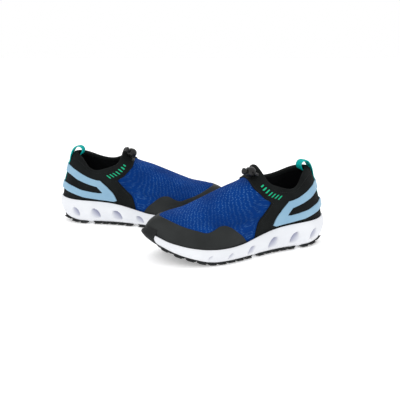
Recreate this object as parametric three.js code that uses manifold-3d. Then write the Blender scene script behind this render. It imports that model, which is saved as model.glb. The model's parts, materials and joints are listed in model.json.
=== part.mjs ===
// A pair of low slip-on water shoes: knit vamp, neoprene collar saddle, heel overlay with a pull
// tape, cupped foam midsole on three rubber tread pads, and a drawcord closed by a cord lock.
// Millimetres, +Z up. Each shoe is built in its own frame (x from the heel back to the toe, y to
// the lateral side, z up from the ground) and then set down on the floor.
import * as THREE from 'three';
import { mergeVertices } from 'three/addons/utils/BufferGeometryUtils.js';
import Module from 'manifold-3d';

const wasm = await Module();
wasm.setup();

// ---- Driving dimensions ----------------------------------------------------------------------
const SHOE_LENGTH = 260;        // heel back to toe tip, at the widest of the midsole
const BALL_WIDTH = 96;          // widest of the midsole, across the ball of the foot
const COLLAR_HEIGHT = 111.5;    // top of the front tab above the ground

const LAYER_GAP = 0.6;          // between one layer of the upper and the next
const SADDLE_WALL = 1.4;        // neoprene saddle and toe cap, the outer layer
const MIDDLE_WALL = 1.4;        // knit vamp and heel counter, the middle layer
const FOAM_CLEARANCE = 1.6;     // collar foam to the lining
const COUNTER_CLEARANCE = 0.3;  // heel counter to the saddle, beyond the usual gap
const LINING_WALL = 1.0;
const OVERLAY_WALL = 1.0;       // moulded heel overlay
const TAPE_WALL = 1.1;          // pull tape webbing
const TAPE_WIDTH = 12;
const TAPE_SIDE_GAP = 1;        // from the tape's edge to where the overlay comes down

const LIP_WALL = 4.5;           // midsole edge to the upper, at the top of the cup
const CUP_DRAFT = 2.0;          // how much further in the cup wall is at the footbed
const BOARD_WALL = 1.6;
const INSOLE_WALL = 4.0;
const SIDE_CLEARANCE = 0.6;     // insole board and insole inside the lining

const RUBBER_WALL = 1.8;        // tread pad without its lugs
const LUG_HEIGHT = 1.3;
const SOLE_GAP = 0.3;           // tread pad under the midsole
const PAD_INSET = 6.5;          // tread pad edge inside the midsole's widest line
const BUMPER_WALL = 1.6;
const BUMPER_GAP = 0.5;

const CORD_DIAMETER = 2.0;
const CORD_CLEARANCE = 0.5;     // round the cord, in the lock and in the eyelets
const CHANNEL_CLEARANCE = 0.9;  // round the cord in its channel in the collar
const CHANNEL_DEPTH = CORD_DIAMETER + 2 * CHANNEL_CLEARANCE;
const LOCK_DIAMETER = 13.5;
const LOCK_LENGTH = 12;
const BUTTON_DIAMETER = 8.4;
const BUTTON_TRAVEL = 2.4;
const STEM_DIAMETER = 5.2;
const STEM_CLEARANCE = 0.35;
const LOCK_TRAVEL = 5;          // how far the lock slides out along the cord

const CORD_TAIL = 1.5;          // cord left over between the lock's far end and the cord end
const SPRING_SOLID = 1.0;       // the lock spring pressed flat
const LOCK_STATION = [0.07, 0.93];      // the lock's place on the collar front, as (u, v)
const LEFT_LOCK = { axis: [0.98, 0, 0.17], cordWay: [0, 1, 0] };
const RIGHT_LOCK = { axis: [-0.66, 0.5, 0.56], cordWay: [0.237, 0.82, -0.453] };

const LOOP_START = 0.86;        // level on the upper where the pull tape leaves the heel
const LOOP_POINTS = [           // the loop above the collar: dx, dz from its top, way it faces
  [-5.5, -4, 0.2], [-3, 1.5, 0.55], [0.5, 5.8, 1.05], [5.5, 7.8, 1.6], [10, 6, 2.3],
  [11.5, 1.5, 2.9], [9.5, -3, 3.3]];
const OVERLAY_TOP = 0.7;        // level where the overlay's rise over the tape is set
const MARK_LINE = [[0.2, 0.94], [0.255, 0.9], [0.3, 0.83], [0.332, 0.78]];
const MARK_BARS = 7;
const MARK_BAR_SPAN = 0.0055;
const MARK_RISE = 0.05;
const MARK_SLANT = 0.008;
const MARK_WALL = 0.4;
const MARK_INNER = 0.4;

const SCOOPS = [                // hollows in the midsole's sides: station, length and lean (degrees)
  { station: 31, length: 17, lean: 30 }, { station: 63, length: 19, lean: 36 },
  { station: 96, length: 20, lean: 42 }, { station: 131, length: 15.5, lean: 42 },
  { station: 163, length: 11, lean: 44 }, { station: 190, length: 8.5, lean: 44 }];
const SCOOP_SLENDER = 0.62;     // width of a scoop as a share of its length
const SCOOP_DEPTH = 4;
const SCOOP_DEPTH_SHARE = 0.22;
const SCOOP_LEVEL = 0.47;       // height of a scoop's middle on the midsole's side

const TREAD_PADS = [            // from the toe back: stations of each pad and its rows of lugs
  { from: 127, to: 243, lugRows: 6 }, { from: 57, to: 119, lugRows: 3 },
  { from: 7, to: 48, lugRows: 2 }];
const LUG_SHARES = [[0, 0.25], [0.31, 0.69], [0.75, 1]];
const LUG_GROOVE = 0.24;        // groove between two rows of lugs, as a share of their pitch
const BUMPER_TO_PAD = 1.2;
const BUMPER_SPAN = [-0.08, 0.068];
const BUMPER_CAP_LEVELS = [0.035, 0.1];

// Where each shoe stands: its point at mid length, and the turn of its toe towards the viewer.
const LEFT_PLACE = { x: 39, y: -89, yaw: 23.0 };
const RIGHT_PLACE = { x: -75, y: 51, yaw: 5.9 };
const PLACE_STATION = 140;

// ---- The last: rings of points round the shoe ------------------------------------------------
// Sixteen stations go round each ring: toe, lateral side, heel, medial side. The points are for
// the nominal size below, and they are scaled to the driving dimensions.
const NOMINAL = { length: 260, width: 96, height: 111.5 };
const SCALE = new THREE.Vector3(
  SHOE_LENGTH / NOMINAL.length, BALL_WIDTH / NOMINAL.width, COLLAR_HEIGHT / NOMINAL.height);

const SOLE_OUTLINE = [
  [258, -8], [251, 11], [233, 32.5], [204, 49.5], [165, 54], [120, 45.5], [75, 38.5], [24, 33],
  [-2, 0], [24, -32], [75, -33.5], [120, -33], [165, -42], [204, -47.5], [229, -40.5], [247, -27]];
const RING_LOW = [
  [245, -8, 53], [240, 5, 51], [223, 24, 45.5], [198, 41.5, 42], [160, 48, 39], [117, 41, 42],
  [73, 35.5, 46], [26, 29, 50], [4.5, 0, 51], [26, -28, 50], [73, -30.5, 48], [117, -31, 44],
  [160, -40, 39], [197, -41.5, 42], [219, -33, 47], [236, -21, 51.5]];
const RING_INSTEP = [
  [199, -7, 66], [197, 9, 65], [188, 25, 61.5], [172, 36, 56.5], [143, 42, 55], [107, 38, 56.5],
  [68, 34, 58], [28, 27, 65], [8, 0, 65], [28, -26.5, 66], [69, -31, 62], [108, -33.5, 60],
  [144, -38, 56], [172, -35, 59], [187, -26, 64], [196, -16, 66]];
const RING_ANKLE = [
  [146, -5, 87], [144, 8, 86], [139, 21, 81.5], [132, 30, 76], [117, 34, 72], [92, 32.5, 71],
  [61, 30.5, 70.5], [31, 22.5, 81.5], [12.5, 0, 81], [32, -22.5, 86], [62, -30, 77], [93, -33, 76],
  [118, -33, 76], [132, -28.5, 81], [138, -20, 85], [144, -12, 87]];
const RING_COLLAR = [
  [113, -4, 99.5], [112.5, 6, 98.5], [111, 14, 95.5], [109, 22, 90.5], [101, 28.5, 84],
  [82, 29.3, 79.5], [57, 27.5, 78.5], [33, 18, 93], [17, 0, 96], [34, -18, 98], [58, -28, 88],
  [83, -31, 86.5], [99, -29, 90], [108, -23.5, 94.5], [111, -17, 97.5], [112.5, -10.5, 99]];
const RING_TOPLINE = [
  [104, -4, 111.5], [103.5, 4, 109.5], [102.5, 12, 105.5], [100, 20, 99], [94, 26, 91],
  [77, 28, 84], [55, 26, 82.5], [36, 16, 99], [23, 0, 105.5], [36, -16, 103.5], [56, -27, 94],
  [77, -30, 91], [91.5, -27.5, 95.5], [99.5, -23, 101.5], [102.5, -18, 107], [103.5, -11.5, 110.5]];
const FRONT = 0;                // u of the shoe's front and of its heel
const HEEL = 0.5;
const RING_LEVELS = [0, 0.12, 0.42, 0.72, 0.9, 1];
const SEAT_LEVEL = -0.12;       // the level of the bottom edge of the upper, on the insole board

// Heights along the shoe: the midsole's top edge, the insole board and the ground side.
const LIP_PROFILE = [
  [-2, 39.5], [15, 38], [30, 37.4], [60, 36.4], [80, 35], [97, 32.8], [112, 29.8], [128, 26.2],
  [145, 22.8], [160, 21.6], [175, 21.4], [190, 22.2], [210, 24.8], [225, 28], [236, 31.2],
  [245, 35.5], [252, 39], [258, 41.5]];
const BOARD_PROFILE = [
  [-2, 25.5], [30, 24], [60, 22], [100, 18.5], [140, 13.5], [170, 12.2], [200, 14], [225, 20.5],
  [240, 27], [250, 33], [258, 37]];
const TREAD_PROFILE = [
  [-2, 12], [6, 8], [14, 4.6], [24, 1.8], [38, 0], [176, 0], [190, 1.2], [207, 5.4], [227, 12],
  [241, 19], [250, 25], [258, 32]];

// ---- Curves ----------------------------------------------------------------------------------
const mod = (value, size) => ((value % size) + size) % size;
const mix = (a, b, t) => a + (b - a) * t;

/** Spline control points of a closed ring that passes through the given points. */
function ringControls(points) {
  const controls = points.map((point) => [...point]);
  const count = points.length;
  for (let pass = 0; pass < 60; pass += 1) {
    for (let i = 0; i < count; i += 1) {
      const before = controls[mod(i - 1, count)];
      const after = controls[mod(i + 1, count)];
      controls[i] = points[i].map((value, k) => (6 * value - before[k] - after[k]) / 4);
    }
  }
  return controls;
}

/** Point on a closed cubic spline ring at u, which goes from 0 to 1 round the ring. */
function ringPoint(controls, u) {
  const count = controls.length;
  const place = mod(u, 1) * count;
  const i = Math.floor(place);
  const f = place - i;
  const weights = [
    (1 - f) ** 3 / 6, (3 * f ** 3 - 6 * f ** 2 + 4) / 6,
    (-3 * f ** 3 + 3 * f ** 2 + 3 * f + 1) / 6, f ** 3 / 6];
  return controls[0].map((_, k) => weights.reduce(
    (sum, weight, j) => sum + weight * controls[mod(i + j - 1, count)][k], 0));
}

/** Height of a profile at x: a smooth curve through its points that never overshoots them. */
function profileHeight(profile, x) {
  const last = profile.length - 1;
  const slope = (i) => (profile[i + 1][1] - profile[i][1]) / (profile[i + 1][0] - profile[i][0]);
  const tangent = (i) => {
    if (i === 0) return slope(0);
    if (i === last) return slope(last - 1);
    const product = slope(i - 1) * slope(i);
    return product > 0 ? 2 * product / (slope(i - 1) + slope(i)) : 0;
  };
  const clamped = Math.min(Math.max(x, profile[0][0]), profile[last][0]);
  let i = 0;
  while (i < last - 1 && profile[i + 1][0] <= clamped) i += 1;
  const width = profile[i + 1][0] - profile[i][0];
  const t = (clamped - profile[i][0]) / width;
  return profile[i][1] * (2 * t ** 3 - 3 * t ** 2 + 1)
    + tangent(i) * width * (t ** 3 - 2 * t ** 2 + t)
    + profile[i + 1][1] * (-2 * t ** 3 + 3 * t ** 2)
    + tangent(i + 1) * width * (t ** 3 - t ** 2);
}

/** Point of an open polyline at t from 0 to 1, each of its segments taking an equal share. */
function alongPath(points, t) {
  const place = Math.min(Math.max(t, 0), 1) * (points.length - 1);
  const i = Math.min(Math.floor(place), points.length - 2);
  return points[i].map((value, k) => mix(value, points[i + 1][k], place - i));
}

const scaleProfile = (profile) => profile.map(([x, z]) => [x * SCALE.x, z * SCALE.z]);
const scaleRing = (ring) => ring.map(([x, y, z]) => [x * SCALE.x, y * SCALE.y, z * SCALE.z]);
const lip = scaleProfile(LIP_PROFILE);
const board = scaleProfile(BOARD_PROFILE);
const tread = scaleProfile(TREAD_PROFILE);
const outlineControls = ringControls(SOLE_OUTLINE.map(([x, y]) => [x * SCALE.x, y * SCALE.y]));

/** Plan point on the sole's outline at u, moved inwards by inset. */
function outlinePoint(u, inset) {
  const step = 1e-4;
  const [x, y] = ringPoint(outlineControls, u);
  const ahead = ringPoint(outlineControls, u + step);
  const behind = ringPoint(outlineControls, u - step);
  const along = new THREE.Vector2(ahead[0] - behind[0], ahead[1] - behind[1]).normalize();
  return [x - along.y * inset, y + along.x * inset];
}

/** Ring of sixteen plan points inset from the outline, each at its height on a profile. */
const footprintRing = (inset, profile) => SOLE_OUTLINE.map((_, i) => {
  const [x, y] = outlinePoint(i / SOLE_OUTLINE.length, inset);
  return [x, y, profileHeight(profile, x)];
});

const seatRing = ringControls(footprintRing(LIP_WALL + CUP_DRAFT, board));
const featherRing = ringControls(footprintRing(LIP_WALL, lip));
const upperRings = [
  featherRing,
  ...[RING_LOW, RING_INSTEP, RING_ANKLE, RING_COLLAR, RING_TOPLINE]
    .map((ring) => ringControls(scaleRing(ring)))];

/** Point on the outside of the upper: u goes round it, v from the midsole's edge to the topline. */
function upperPoint(u, v) {
  const rows = upperRings.map((ring) => ringPoint(ring, u));
  if (v < 0) {
    const low = ringPoint(seatRing, u);
    return new THREE.Vector3(...low.map((value, k) => mix(rows[0][k], value, v / SEAT_LEVEL)));
  }
  let i = 0;
  while (i < RING_LEVELS.length - 2 && RING_LEVELS[i + 1] <= v) i += 1;
  const gap = (j) => RING_LEVELS[j + 1] - RING_LEVELS[j];
  const slope = (j, k) => (rows[j + 1][k] - rows[j][k]) / gap(j);
  const middle = (j, k) => (
    slope(j - 1, k) * gap(j) + slope(j, k) * gap(j - 1)) / (gap(j) + gap(j - 1));
  const last = RING_LEVELS.length - 1;
  const tangent = (j, k) => {
    if (j === 0) return 1.5 * slope(0, k) - 0.5 * middle(1, k);
    if (j === last) return 1.5 * slope(last - 1, k) - 0.5 * middle(last - 1, k);
    return middle(j, k);
  };
  const t = (v - RING_LEVELS[i]) / gap(i);
  return new THREE.Vector3(...[0, 1, 2].map((k) => rows[i][k] * (2 * t ** 3 - 3 * t ** 2 + 1)
    + tangent(i, k) * gap(i) * (t ** 3 - 2 * t ** 2 + t)
    + rows[i + 1][k] * (-2 * t ** 3 + 3 * t ** 2)
    + tangent(i + 1, k) * gap(i) * (t ** 3 - t ** 2)));
}

/** Outward unit normal of the upper at (u, v). */
function upperNormal(u, v) {
  const step = 1e-3;
  const high = Math.min(v + step, 1);
  const low = Math.max(v - step, SEAT_LEVEL);
  const round = upperPoint(u + step, v).sub(upperPoint(u - step, v));
  const rise = upperPoint(u, high).sub(upperPoint(u, low));
  return round.cross(rise).normalize();
}

/** Point at a depth outside (or, below zero, inside) the upper's outer face. */
const layerPoint = (u, v, depth) => upperPoint(u, v).addScaledVector(upperNormal(u, v), depth);

// ---- Solids ----------------------------------------------------------------------------------
/** Geometry from corner points and faces of three or four corners, seen from outside. */
function facedSolid(points, faces) {
  const index = [];
  faces.forEach(([a, b, c, d]) => {
    index.push(a, b, c);
    if (d !== undefined) index.push(a, c, d);
  });
  const geometry = new THREE.BufferGeometry();
  geometry.setAttribute('position', new THREE.Float32BufferAttribute(
    points.flatMap((point) => [point.x, point.y, point.z]), 3));
  geometry.setIndex(index);
  return geometry;
}

/**
 * A thick sheet: inner(s, t) and outer(s, t) give its two faces on a grid of s by t, and closed
 * joins the last column to the first. s runs anticlockwise seen from above and t upwards.
 */
function thickSheet(columns, rows, closed, inner, outer) {
  const lines = closed ? columns : columns + 1;
  const points = [];
  const corner = (i, j, side) => 2 * ((i % lines) * (rows + 1) + j) + side;
  for (let i = 0; i < lines; i += 1) {
    for (let j = 0; j <= rows; j += 1) {
      points.push(inner(i / columns, j / rows), outer(i / columns, j / rows));
    }
  }
  const faces = [];
  for (let i = 0; i < columns; i += 1) {
    for (let j = 0; j < rows; j += 1) {
      faces.push([corner(i, j, 1), corner(i + 1, j, 1), corner(i + 1, j + 1, 1), corner(i, j + 1, 1)]);
      faces.push([corner(i, j, 0), corner(i, j + 1, 0), corner(i + 1, j + 1, 0), corner(i + 1, j, 0)]);
    }
    faces.push([corner(i, 0, 0), corner(i + 1, 0, 0), corner(i + 1, 0, 1), corner(i, 0, 1)]);
    faces.push([
      corner(i, rows, 1), corner(i + 1, rows, 1), corner(i + 1, rows, 0), corner(i, rows, 0)]);
  }
  if (!closed) {
    for (let j = 0; j < rows; j += 1) {
      faces.push([corner(0, j, 0), corner(0, j, 1), corner(0, j + 1, 1), corner(0, j + 1, 0)]);
      faces.push([
        corner(columns, j, 1), corner(columns, j, 0),
        corner(columns, j + 1, 0), corner(columns, j + 1, 1)]);
    }
  }
  return facedSolid(points, faces);
}

/** Level on the upper at a row: the first row above the bottom edge is at the midsole's edge. */
function levelAt(low, high, row, shares) {
  if (row === 0) return low;
  const start = Math.max(low, Math.min(0, (low + high) / 2));
  return mix(start, high, shares[row - 1]);
}

/**
 * A layer of the upper between two lines on it, each a list of (u, v), from one depth to another.
 * Shares are the heights of its rows above the midsole's edge, from 0 up to 1.
 */
function upperLayer(bottomLine, topLine, steps, shares, closed, innerDepth, outerDepth) {
  const columns = steps * (bottomLine.length - 1);
  const rows = shares.length;
  const at = (depth) => (s, t) => {
    const low = alongPath(bottomLine, s);
    const high = alongPath(topLine, s);
    const v = levelAt(low[1], high[1], Math.round(t * rows), shares);
    const across = (v - low[1]) / (high[1] - low[1]);
    return layerPoint(mix(low[0], high[0], across), v, depth);
  };
  return thickSheet(columns, rows, closed, at(innerDepth), at(outerDepth));
}

/** A closed line round the shoe from its lateral half, which ends at the heel. */
const ringLine = (half) => [
  ...half, ...half.slice(0, -1).reverse().map(([u, v]) => [2 * HEEL - u, v])];

/** An open line round the back of the shoe from its lateral half, which ends at the heel. */
const rearLine = ringLine;

/** An open line across the front of the shoe from its lateral half, which starts at the front. */
const frontLine = (half) => [
  ...half.slice(1).reverse().map(([u, v]) => [2 * FRONT - u, v]), ...half];

/** Stations round the shoe, closer together at the heel, where the outline turns fastest. */
const aroundStation = (s) => s + 0.35 / (2 * Math.PI) * Math.sin(2 * Math.PI * s);

/** A solid whose wall is a stack of rings, closed below and above by strips across the shoe. */
function stackedRings(count, ringAt) {
  const points = [];
  ringAt.forEach((ring) => {
    for (let i = 0; i < count; i += 1) points.push(ring(aroundStation(i / count)));
  });
  const faces = [];
  const corner = (ring, i) => ring * count + mod(i, count);
  for (let ring = 0; ring < ringAt.length - 1; ring += 1) {
    for (let i = 0; i < count; i += 1) {
      faces.push([
        corner(ring, i), corner(ring, i + 1), corner(ring + 1, i + 1), corner(ring + 1, i)]);
    }
  }
  const last = ringAt.length - 1;
  for (let i = 0; i < count / 2; i += 1) {
    const bottom = [corner(0, i), corner(0, -i), corner(0, -i - 1), corner(0, i + 1)];
    const top = [corner(last, i), corner(last, i + 1), corner(last, -i - 1), corner(last, -i)];
    const distinct = (face) => face.filter((value, k) => face.indexOf(value) === k);
    faces.push(distinct(bottom), distinct(top));
  }
  return facedSolid(points, faces);
}

/** A copy of a geometry with nothing but its positions. */
function bareGeometry(geometry) {
  const bare = geometry.clone();
  bare.deleteAttribute('normal');
  bare.deleteAttribute('uv');
  return bare;
}

/** A manifold-3d solid from a geometry. */
function toSolid(geometry) {
  const merged = mergeVertices(bareGeometry(geometry), 1e-5);
  return new wasm.Manifold(new wasm.Mesh({
    numProp: 3,
    vertProperties: new Float32Array(merged.attributes.position.array),
    triVerts: new Uint32Array(merged.index.array) }));
}

/** A geometry from a manifold-3d solid. */
function toGeometry(solid) {
  const mesh = solid.getMesh();
  const geometry = new THREE.BufferGeometry();
  geometry.setAttribute('position', new THREE.Float32BufferAttribute(mesh.vertProperties, 3));
  geometry.setIndex(new THREE.Uint32BufferAttribute(mesh.triVerts, 1));
  return geometry;
}

/** A geometry moved so that its Z axis lies along direction and its origin at origin. */
function aimed(geometry, origin, direction, twist = 0) {
  const turn = new THREE.Quaternion().setFromUnitVectors(
    new THREE.Vector3(0, 0, 1), direction.clone().normalize());
  const matrix = new THREE.Matrix4().compose(origin, turn, new THREE.Vector3(1, 1, 1));
  return geometry.rotateZ(twist).applyMatrix4(matrix);
}

/** A tube along a curve. */
function tube(curve, diameter, sides, steps) {
  const section = new THREE.Shape(Array.from({ length: sides }, (_, i) => {
    const angle = 2 * Math.PI * i / sides;
    return new THREE.Vector2(Math.cos(angle) * diameter / 2, Math.sin(angle) * diameter / 2);
  }));
  return new THREE.ExtrudeGeometry(section, { steps, extrudePath: curve });
}

// ---- Depths of the layers, from the outside of the saddle ------------------------------------
const MIDDLE_OUTER = -SADDLE_WALL - LAYER_GAP;
const MIDDLE_INNER = MIDDLE_OUTER - MIDDLE_WALL;
const LINING_OUTER = -SADDLE_WALL - CHANNEL_DEPTH;
const LINING_INNER = LINING_OUTER - LINING_WALL;
const FOAM_INNER = LINING_OUTER + FOAM_CLEARANCE;
const CORD_DEPTH = (-SADDLE_WALL + LINING_OUTER) / 2;
const TAPE_INNER = LAYER_GAP;
const TAPE_OUTER = TAPE_INNER + TAPE_WALL;
const OVERLAY_INNER = LAYER_GAP;

// ---- Lines on the upper, as (u, v), lateral half ----------------------------------------------
const CORD_LEVEL = 0.955;
const RING_COLUMNS = 60;
const LINING_COLUMNS = 42;
const REAR_COLUMN = 21;         // from here back to the heel the columns of all rings line up
const rearColumns = (v) => Array.from(
  { length: RING_COLUMNS / 2 - REAR_COLUMN + 1 }, (_, i) => [(REAR_COLUMN + i) / RING_COLUMNS, v]);
const liningColumns = (v) => Array.from({ length: LINING_COLUMNS / 2 + 1 }, (_, i) => {
  const s = i / LINING_COLUMNS;
  return [s - 0.4 / (4 * Math.PI) * Math.sin(4 * Math.PI * s), v];
});

/** The same line with extra points put evenly into each of its segments. */
const refined = (points, parts) => Array.from(
  { length: (points.length - 1) * parts + 1 },
  (_, i) => alongPath(points, i / ((points.length - 1) * parts)));

const saddleEdge = [
  [0, 0.872], [0.145, 0.848], [0.226, 0.838], [0.272, 0.775], [0.311, 0.653], [0.312, 0.4],
  [0.307, 0.15], [0.316, SEAT_LEVEL]];
const saddleShoulder = [0, 0.1, 0.18, 0.235, 0.285, 0.31, 0.32, 0.335].map((u) => [u, 1]);
const saddleBottom = [...refined(saddleEdge, 2), ...rearColumns(SEAT_LEVEL)];
const saddleTop = [...refined(saddleShoulder, 2), ...rearColumns(1)];
const vampTop = [
  [0, 0.89], [0.15, 0.868], [0.24, 0.857], [0.29, 0.79], [0.328, 0.66], [0.33, 0.4],
  [0.326, 0.15], [0.333, 0.02]];
const vampBottom = [0, 0.06, 0.12, 0.18, 0.23, 0.27, 0.3, 0.33].map((u) => [u, SEAT_LEVEL]);
const capTop = [
  [0, 0.2], [0.05, 0.198], [0.096, 0.185], [0.14, 0.164], [0.175, 0.146], [0.2, 0.132],
  [0.213, 0.18], [0.218, 0.255], [0.228, 0.27], [0.242, 0.22], [0.26, 0.14], [0.28, 0.06],
  [0.296, -0.03]];
const capBottom = [
  0, 0.04, 0.08, 0.115, 0.15, 0.18, 0.2, 0.215, 0.23, 0.245, 0.262, 0.28, 0.298]
  .map((u) => [u, SEAT_LEVEL]);
const foamBottom = [[0.22, 0.885], [0.28, 0.83], [0.32, 0.72], [0.35, 0.64], [0.41, 0.6], [0.5, 0.62]];
const foamTop = [0.22, 0.27, 0.31, 0.35, 0.41, 0.5].map((u) => [u, 0.91]);
const overlayOuter = [
  [0.5, 0.82], [0.47, 0.78], [0.445, 0.72], [0.42, 0.68], [0.392, 0.665], [0.362, 0.67],
  [0.354, 0.45], [0.347, 0.06], [0.355, 0.032], [0.383, 0.028], [0.412, 0.042], [0.436, 0.08],
  [0.465, 0.11], [0.5, 0.13]];
const overlayInner = [
  [0.5, 0.66], [0.474, 0.62], [0.452, 0.565], [0.428, 0.485], [0.404, 0.44], [0.381, 0.41],
  [0.378, 0.3], [0.374, 0.18], [0.382, 0.162], [0.395, 0.163], [0.417, 0.178], [0.436, 0.235],
  [0.465, 0.3], [0.5, 0.33]];

// ---- Upper -----------------------------------------------------------------------------------
const VAMP_SHARES = [0, 0.22, 0.47, 0.67, 0.8, 0.91, 1];
const SADDLE_SHARES = [0, 0.25, 0.5, 0.72, 0.9, 1];
const LINING_SHARES = [0, 0.2, 0.42, 0.6, 0.72, 0.82, 0.9, 1];

const buildVamp = () => upperLayer(
  frontLine(vampBottom), frontLine(vampTop), 2, VAMP_SHARES, false, MIDDLE_INNER, MIDDLE_OUTER);

const buildToeCap = () => upperLayer(
  frontLine(capBottom), frontLine(capTop), 2, [0, 0.5, 1], false, -SADDLE_WALL, 0);

const buildHeelCounter = () => upperLayer(
  rearLine([[0.37, SEAT_LEVEL], [0.43, SEAT_LEVEL], [0.5, SEAT_LEVEL]]),
  rearLine([[0.39, 0.3], [0.43, 0.45], [0.5, 0.55]]), 4, [0, 0.5, 1], false,
  MIDDLE_INNER, MIDDLE_OUTER - COUNTER_CLEARANCE);

const buildCollarFoam = () => upperLayer(
  rearLine(foamBottom), rearLine(foamTop), 3, [0.5, 1], false, FOAM_INNER, MIDDLE_OUTER);

const buildLining = () => upperLayer(
  ringLine(liningColumns(SEAT_LEVEL)), ringLine(liningColumns(1)), 1, LINING_SHARES, true,
  LINING_INNER, LINING_OUTER);

/** The drawcord's way: round the collar in its channel, out at the front and through the lock. */
function drawcordCurve(lock) {
  const channelStart = 0.05;
  const channelEnd = 0.955;
  const channelPoints = 44;
  const points = Array.from({ length: channelPoints + 1 }, (_, i) => layerPoint(
    mix(channelStart, channelEnd, i / channelPoints), CORD_LEVEL, CORD_DEPTH));
  const out = [[0.974, -0.8], [0.986, 2]];
  out.forEach(([u, depth]) => points.push(layerPoint(u, CORD_LEVEL, depth)));
  const half = LOCK_DIAMETER / 2;
  [-half - 1, 0, half, half + LOCK_TRAVEL, half + LOCK_TRAVEL + 1.5].forEach((reach) => {
    points.push(lock.centre.clone().addScaledVector(lock.cordWay, reach));
  });
  return new THREE.CatmullRomCurve3(points, false, 'centripetal');
}

const buildDrawcord = (lock) => tube(drawcordCurve(lock), CORD_DIAMETER, 6, 54);

function buildSaddle(lock) {
  const sheet = upperLayer(
    ringLine(saddleBottom), ringLine(saddleTop), 1, SADDLE_SHARES, true, -SADDLE_WALL, 0);
  const bore = tube(drawcordCurve(lock), CORD_DIAMETER + 2 * CORD_CLEARANCE, 6, 54);
  return toGeometry(toSolid(sheet).subtract(toSolid(bore)));
}

/** u for a point a distance y to the lateral side of the heel centre, at level v. */
function heelStation(y, v) {
  const step = 0.01;
  const span = upperPoint(HEEL - step, v).y - upperPoint(HEEL + step, v).y;
  return HEEL - y * 2 * step / span;
}

/** How far the heel overlay stands out at u, so that it clears the pull tape at the heel centre. */
function overlayRise(u) {
  const edge = HEEL - heelStation(TAPE_WIDTH / 2 + TAPE_SIDE_GAP, OVERLAY_TOP);
  const shoulder = 2.2 * edge;
  const ramp = Math.min(Math.max((shoulder - Math.abs(u - HEEL)) / (shoulder - edge), 0), 1);
  return ramp * (TAPE_OUTER + LAYER_GAP - OVERLAY_INNER);
}

function buildHeelOverlay() {
  const outside = ringLine(overlayOuter);
  const window = ringLine(overlayInner);
  const at = (depth) => (s, t) => {
    const edge = alongPath(outside, s);
    const hole = alongPath(window, s);
    const u = mix(edge[0], hole[0], t);
    return layerPoint(u, mix(edge[1], hole[1], t), depth + overlayRise(u));
  };
  return thickSheet(2 * (outside.length - 1), 2, true,
    at(OVERLAY_INNER), at(OVERLAY_INNER + OVERLAY_WALL));
}

/** The pull tape: up the heel centre, over the collar in a loop, and down inside it. */
function buildPullTape() {
  const onLayer = (v, depth) => (y, out) => layerPoint(heelStation(y, v), v, depth + out);
  const top = upperPoint(HEEL, 1);
  const sag = (y) => layerPoint(heelStation(y, LOOP_START), LOOP_START, 0).x
    - upperPoint(HEEL, LOOP_START).x;
  const inTheAir = (dx, dz, lean) => (y, out) => new THREE.Vector3(
    top.x + dx + sag(y) - out * Math.cos(lean), y, top.z + dz + out * Math.sin(lean));
  const outside = [0.2, 0.32, 0.44, 0.56, 0.68, 0.78, LOOP_START].map((v) => onLayer(v, TAPE_INNER));
  const loop = LOOP_POINTS.map(([dx, dz, lean]) => inTheAir(dx, dz, lean));
  const inside = [0.96, 0.9, 0.84].map((v) => (y, out) => layerPoint(
    heelStation(y, v), v, LINING_INNER - 2 * TAPE_INNER - out));
  const rows = [...outside, ...loop, ...inside];
  const at = (out) => (s, t) => rows[Math.round(t * (rows.length - 1))](
    TAPE_WIDTH * (0.5 - s), out);
  return thickSheet(2, rows.length - 1, false, at(0), at(TAPE_WALL));
}

/** A transfer film along the collar's lateral side with short slanted bars raised on it. */
function buildCollarMark() {
  const filmTop = MARK_INNER + MARK_WALL / 2;
  const onFilm = (rise, depth) => (s, t) => {
    const [u, v] = alongPath(MARK_LINE, s);
    return layerPoint(u, v + rise * (t - 0.5), depth);
  };
  const film = thickSheet(MARK_BARS + 1, 1, false,
    onFilm(MARK_RISE / 3, MARK_INNER), onFilm(MARK_RISE / 3, filmTop));
  return toGeometry(Array.from({ length: MARK_BARS }, (_, i) => {
    const middle = alongPath(MARK_LINE, (i + 0.5) / MARK_BARS);
    const at = (depth) => (s, t) => layerPoint(
      middle[0] + MARK_SLANT * (t - 0.5) + MARK_BAR_SPAN * (s - 0.5),
      middle[1] + MARK_RISE * (t - 0.5), depth);
    return thickSheet(1, 1, false, at(MARK_INNER + MARK_WALL / 8), at(filmTop + MARK_WALL / 2));
  }).reduce((solid, bar) => solid.add(toSolid(bar)), toSolid(film)));
}

// ---- Footbed, midsole and tread --------------------------------------------------------------
/** A flat-lying plate that follows a height profile, inset from the sole's outline. */
function buildPlate(inset, profile, low, high) {
  const ringAt = (rise) => (u) => {
    const [x, y] = outlinePoint(u, inset);
    return new THREE.Vector3(x, y, profileHeight(profile, x) + rise);
  };
  return stackedRings(28, [ringAt(low), ringAt(high)]);
}

const LINING_FOOT = LIP_WALL + CUP_DRAFT - LINING_INNER;
const buildStrobelBoard = () => buildPlate(LINING_FOOT + SIDE_CLEARANCE, board, 0, BOARD_WALL);
const buildInsole = () => buildPlate(LINING_FOOT + SIDE_CLEARANCE, board,
  BOARD_WALL + SOLE_GAP, BOARD_WALL + SOLE_GAP + INSOLE_WALL);

/** Rows of the midsole's outer wall: inset, share of its height, and the way it faces. */
const WALL_ROWS = [
  { inset: 8, share: 0, face: [0, -1] },
  { inset: 3.6, share: 0.12, face: [0.6, -0.8] },
  { inset: 0.8, share: 0.35, face: [0.95, -0.3] },
  { inset: 0, share: 0.56, face: [1, 0] },
  { inset: 0.9, share: 0.82, face: [0.97, 0.25] },
  { inset: 3, share: 1, face: [0.4, 0.92] }];
const SOLE_UNDERSIDE = LUG_HEIGHT + RUBBER_WALL + SOLE_GAP;

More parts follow.
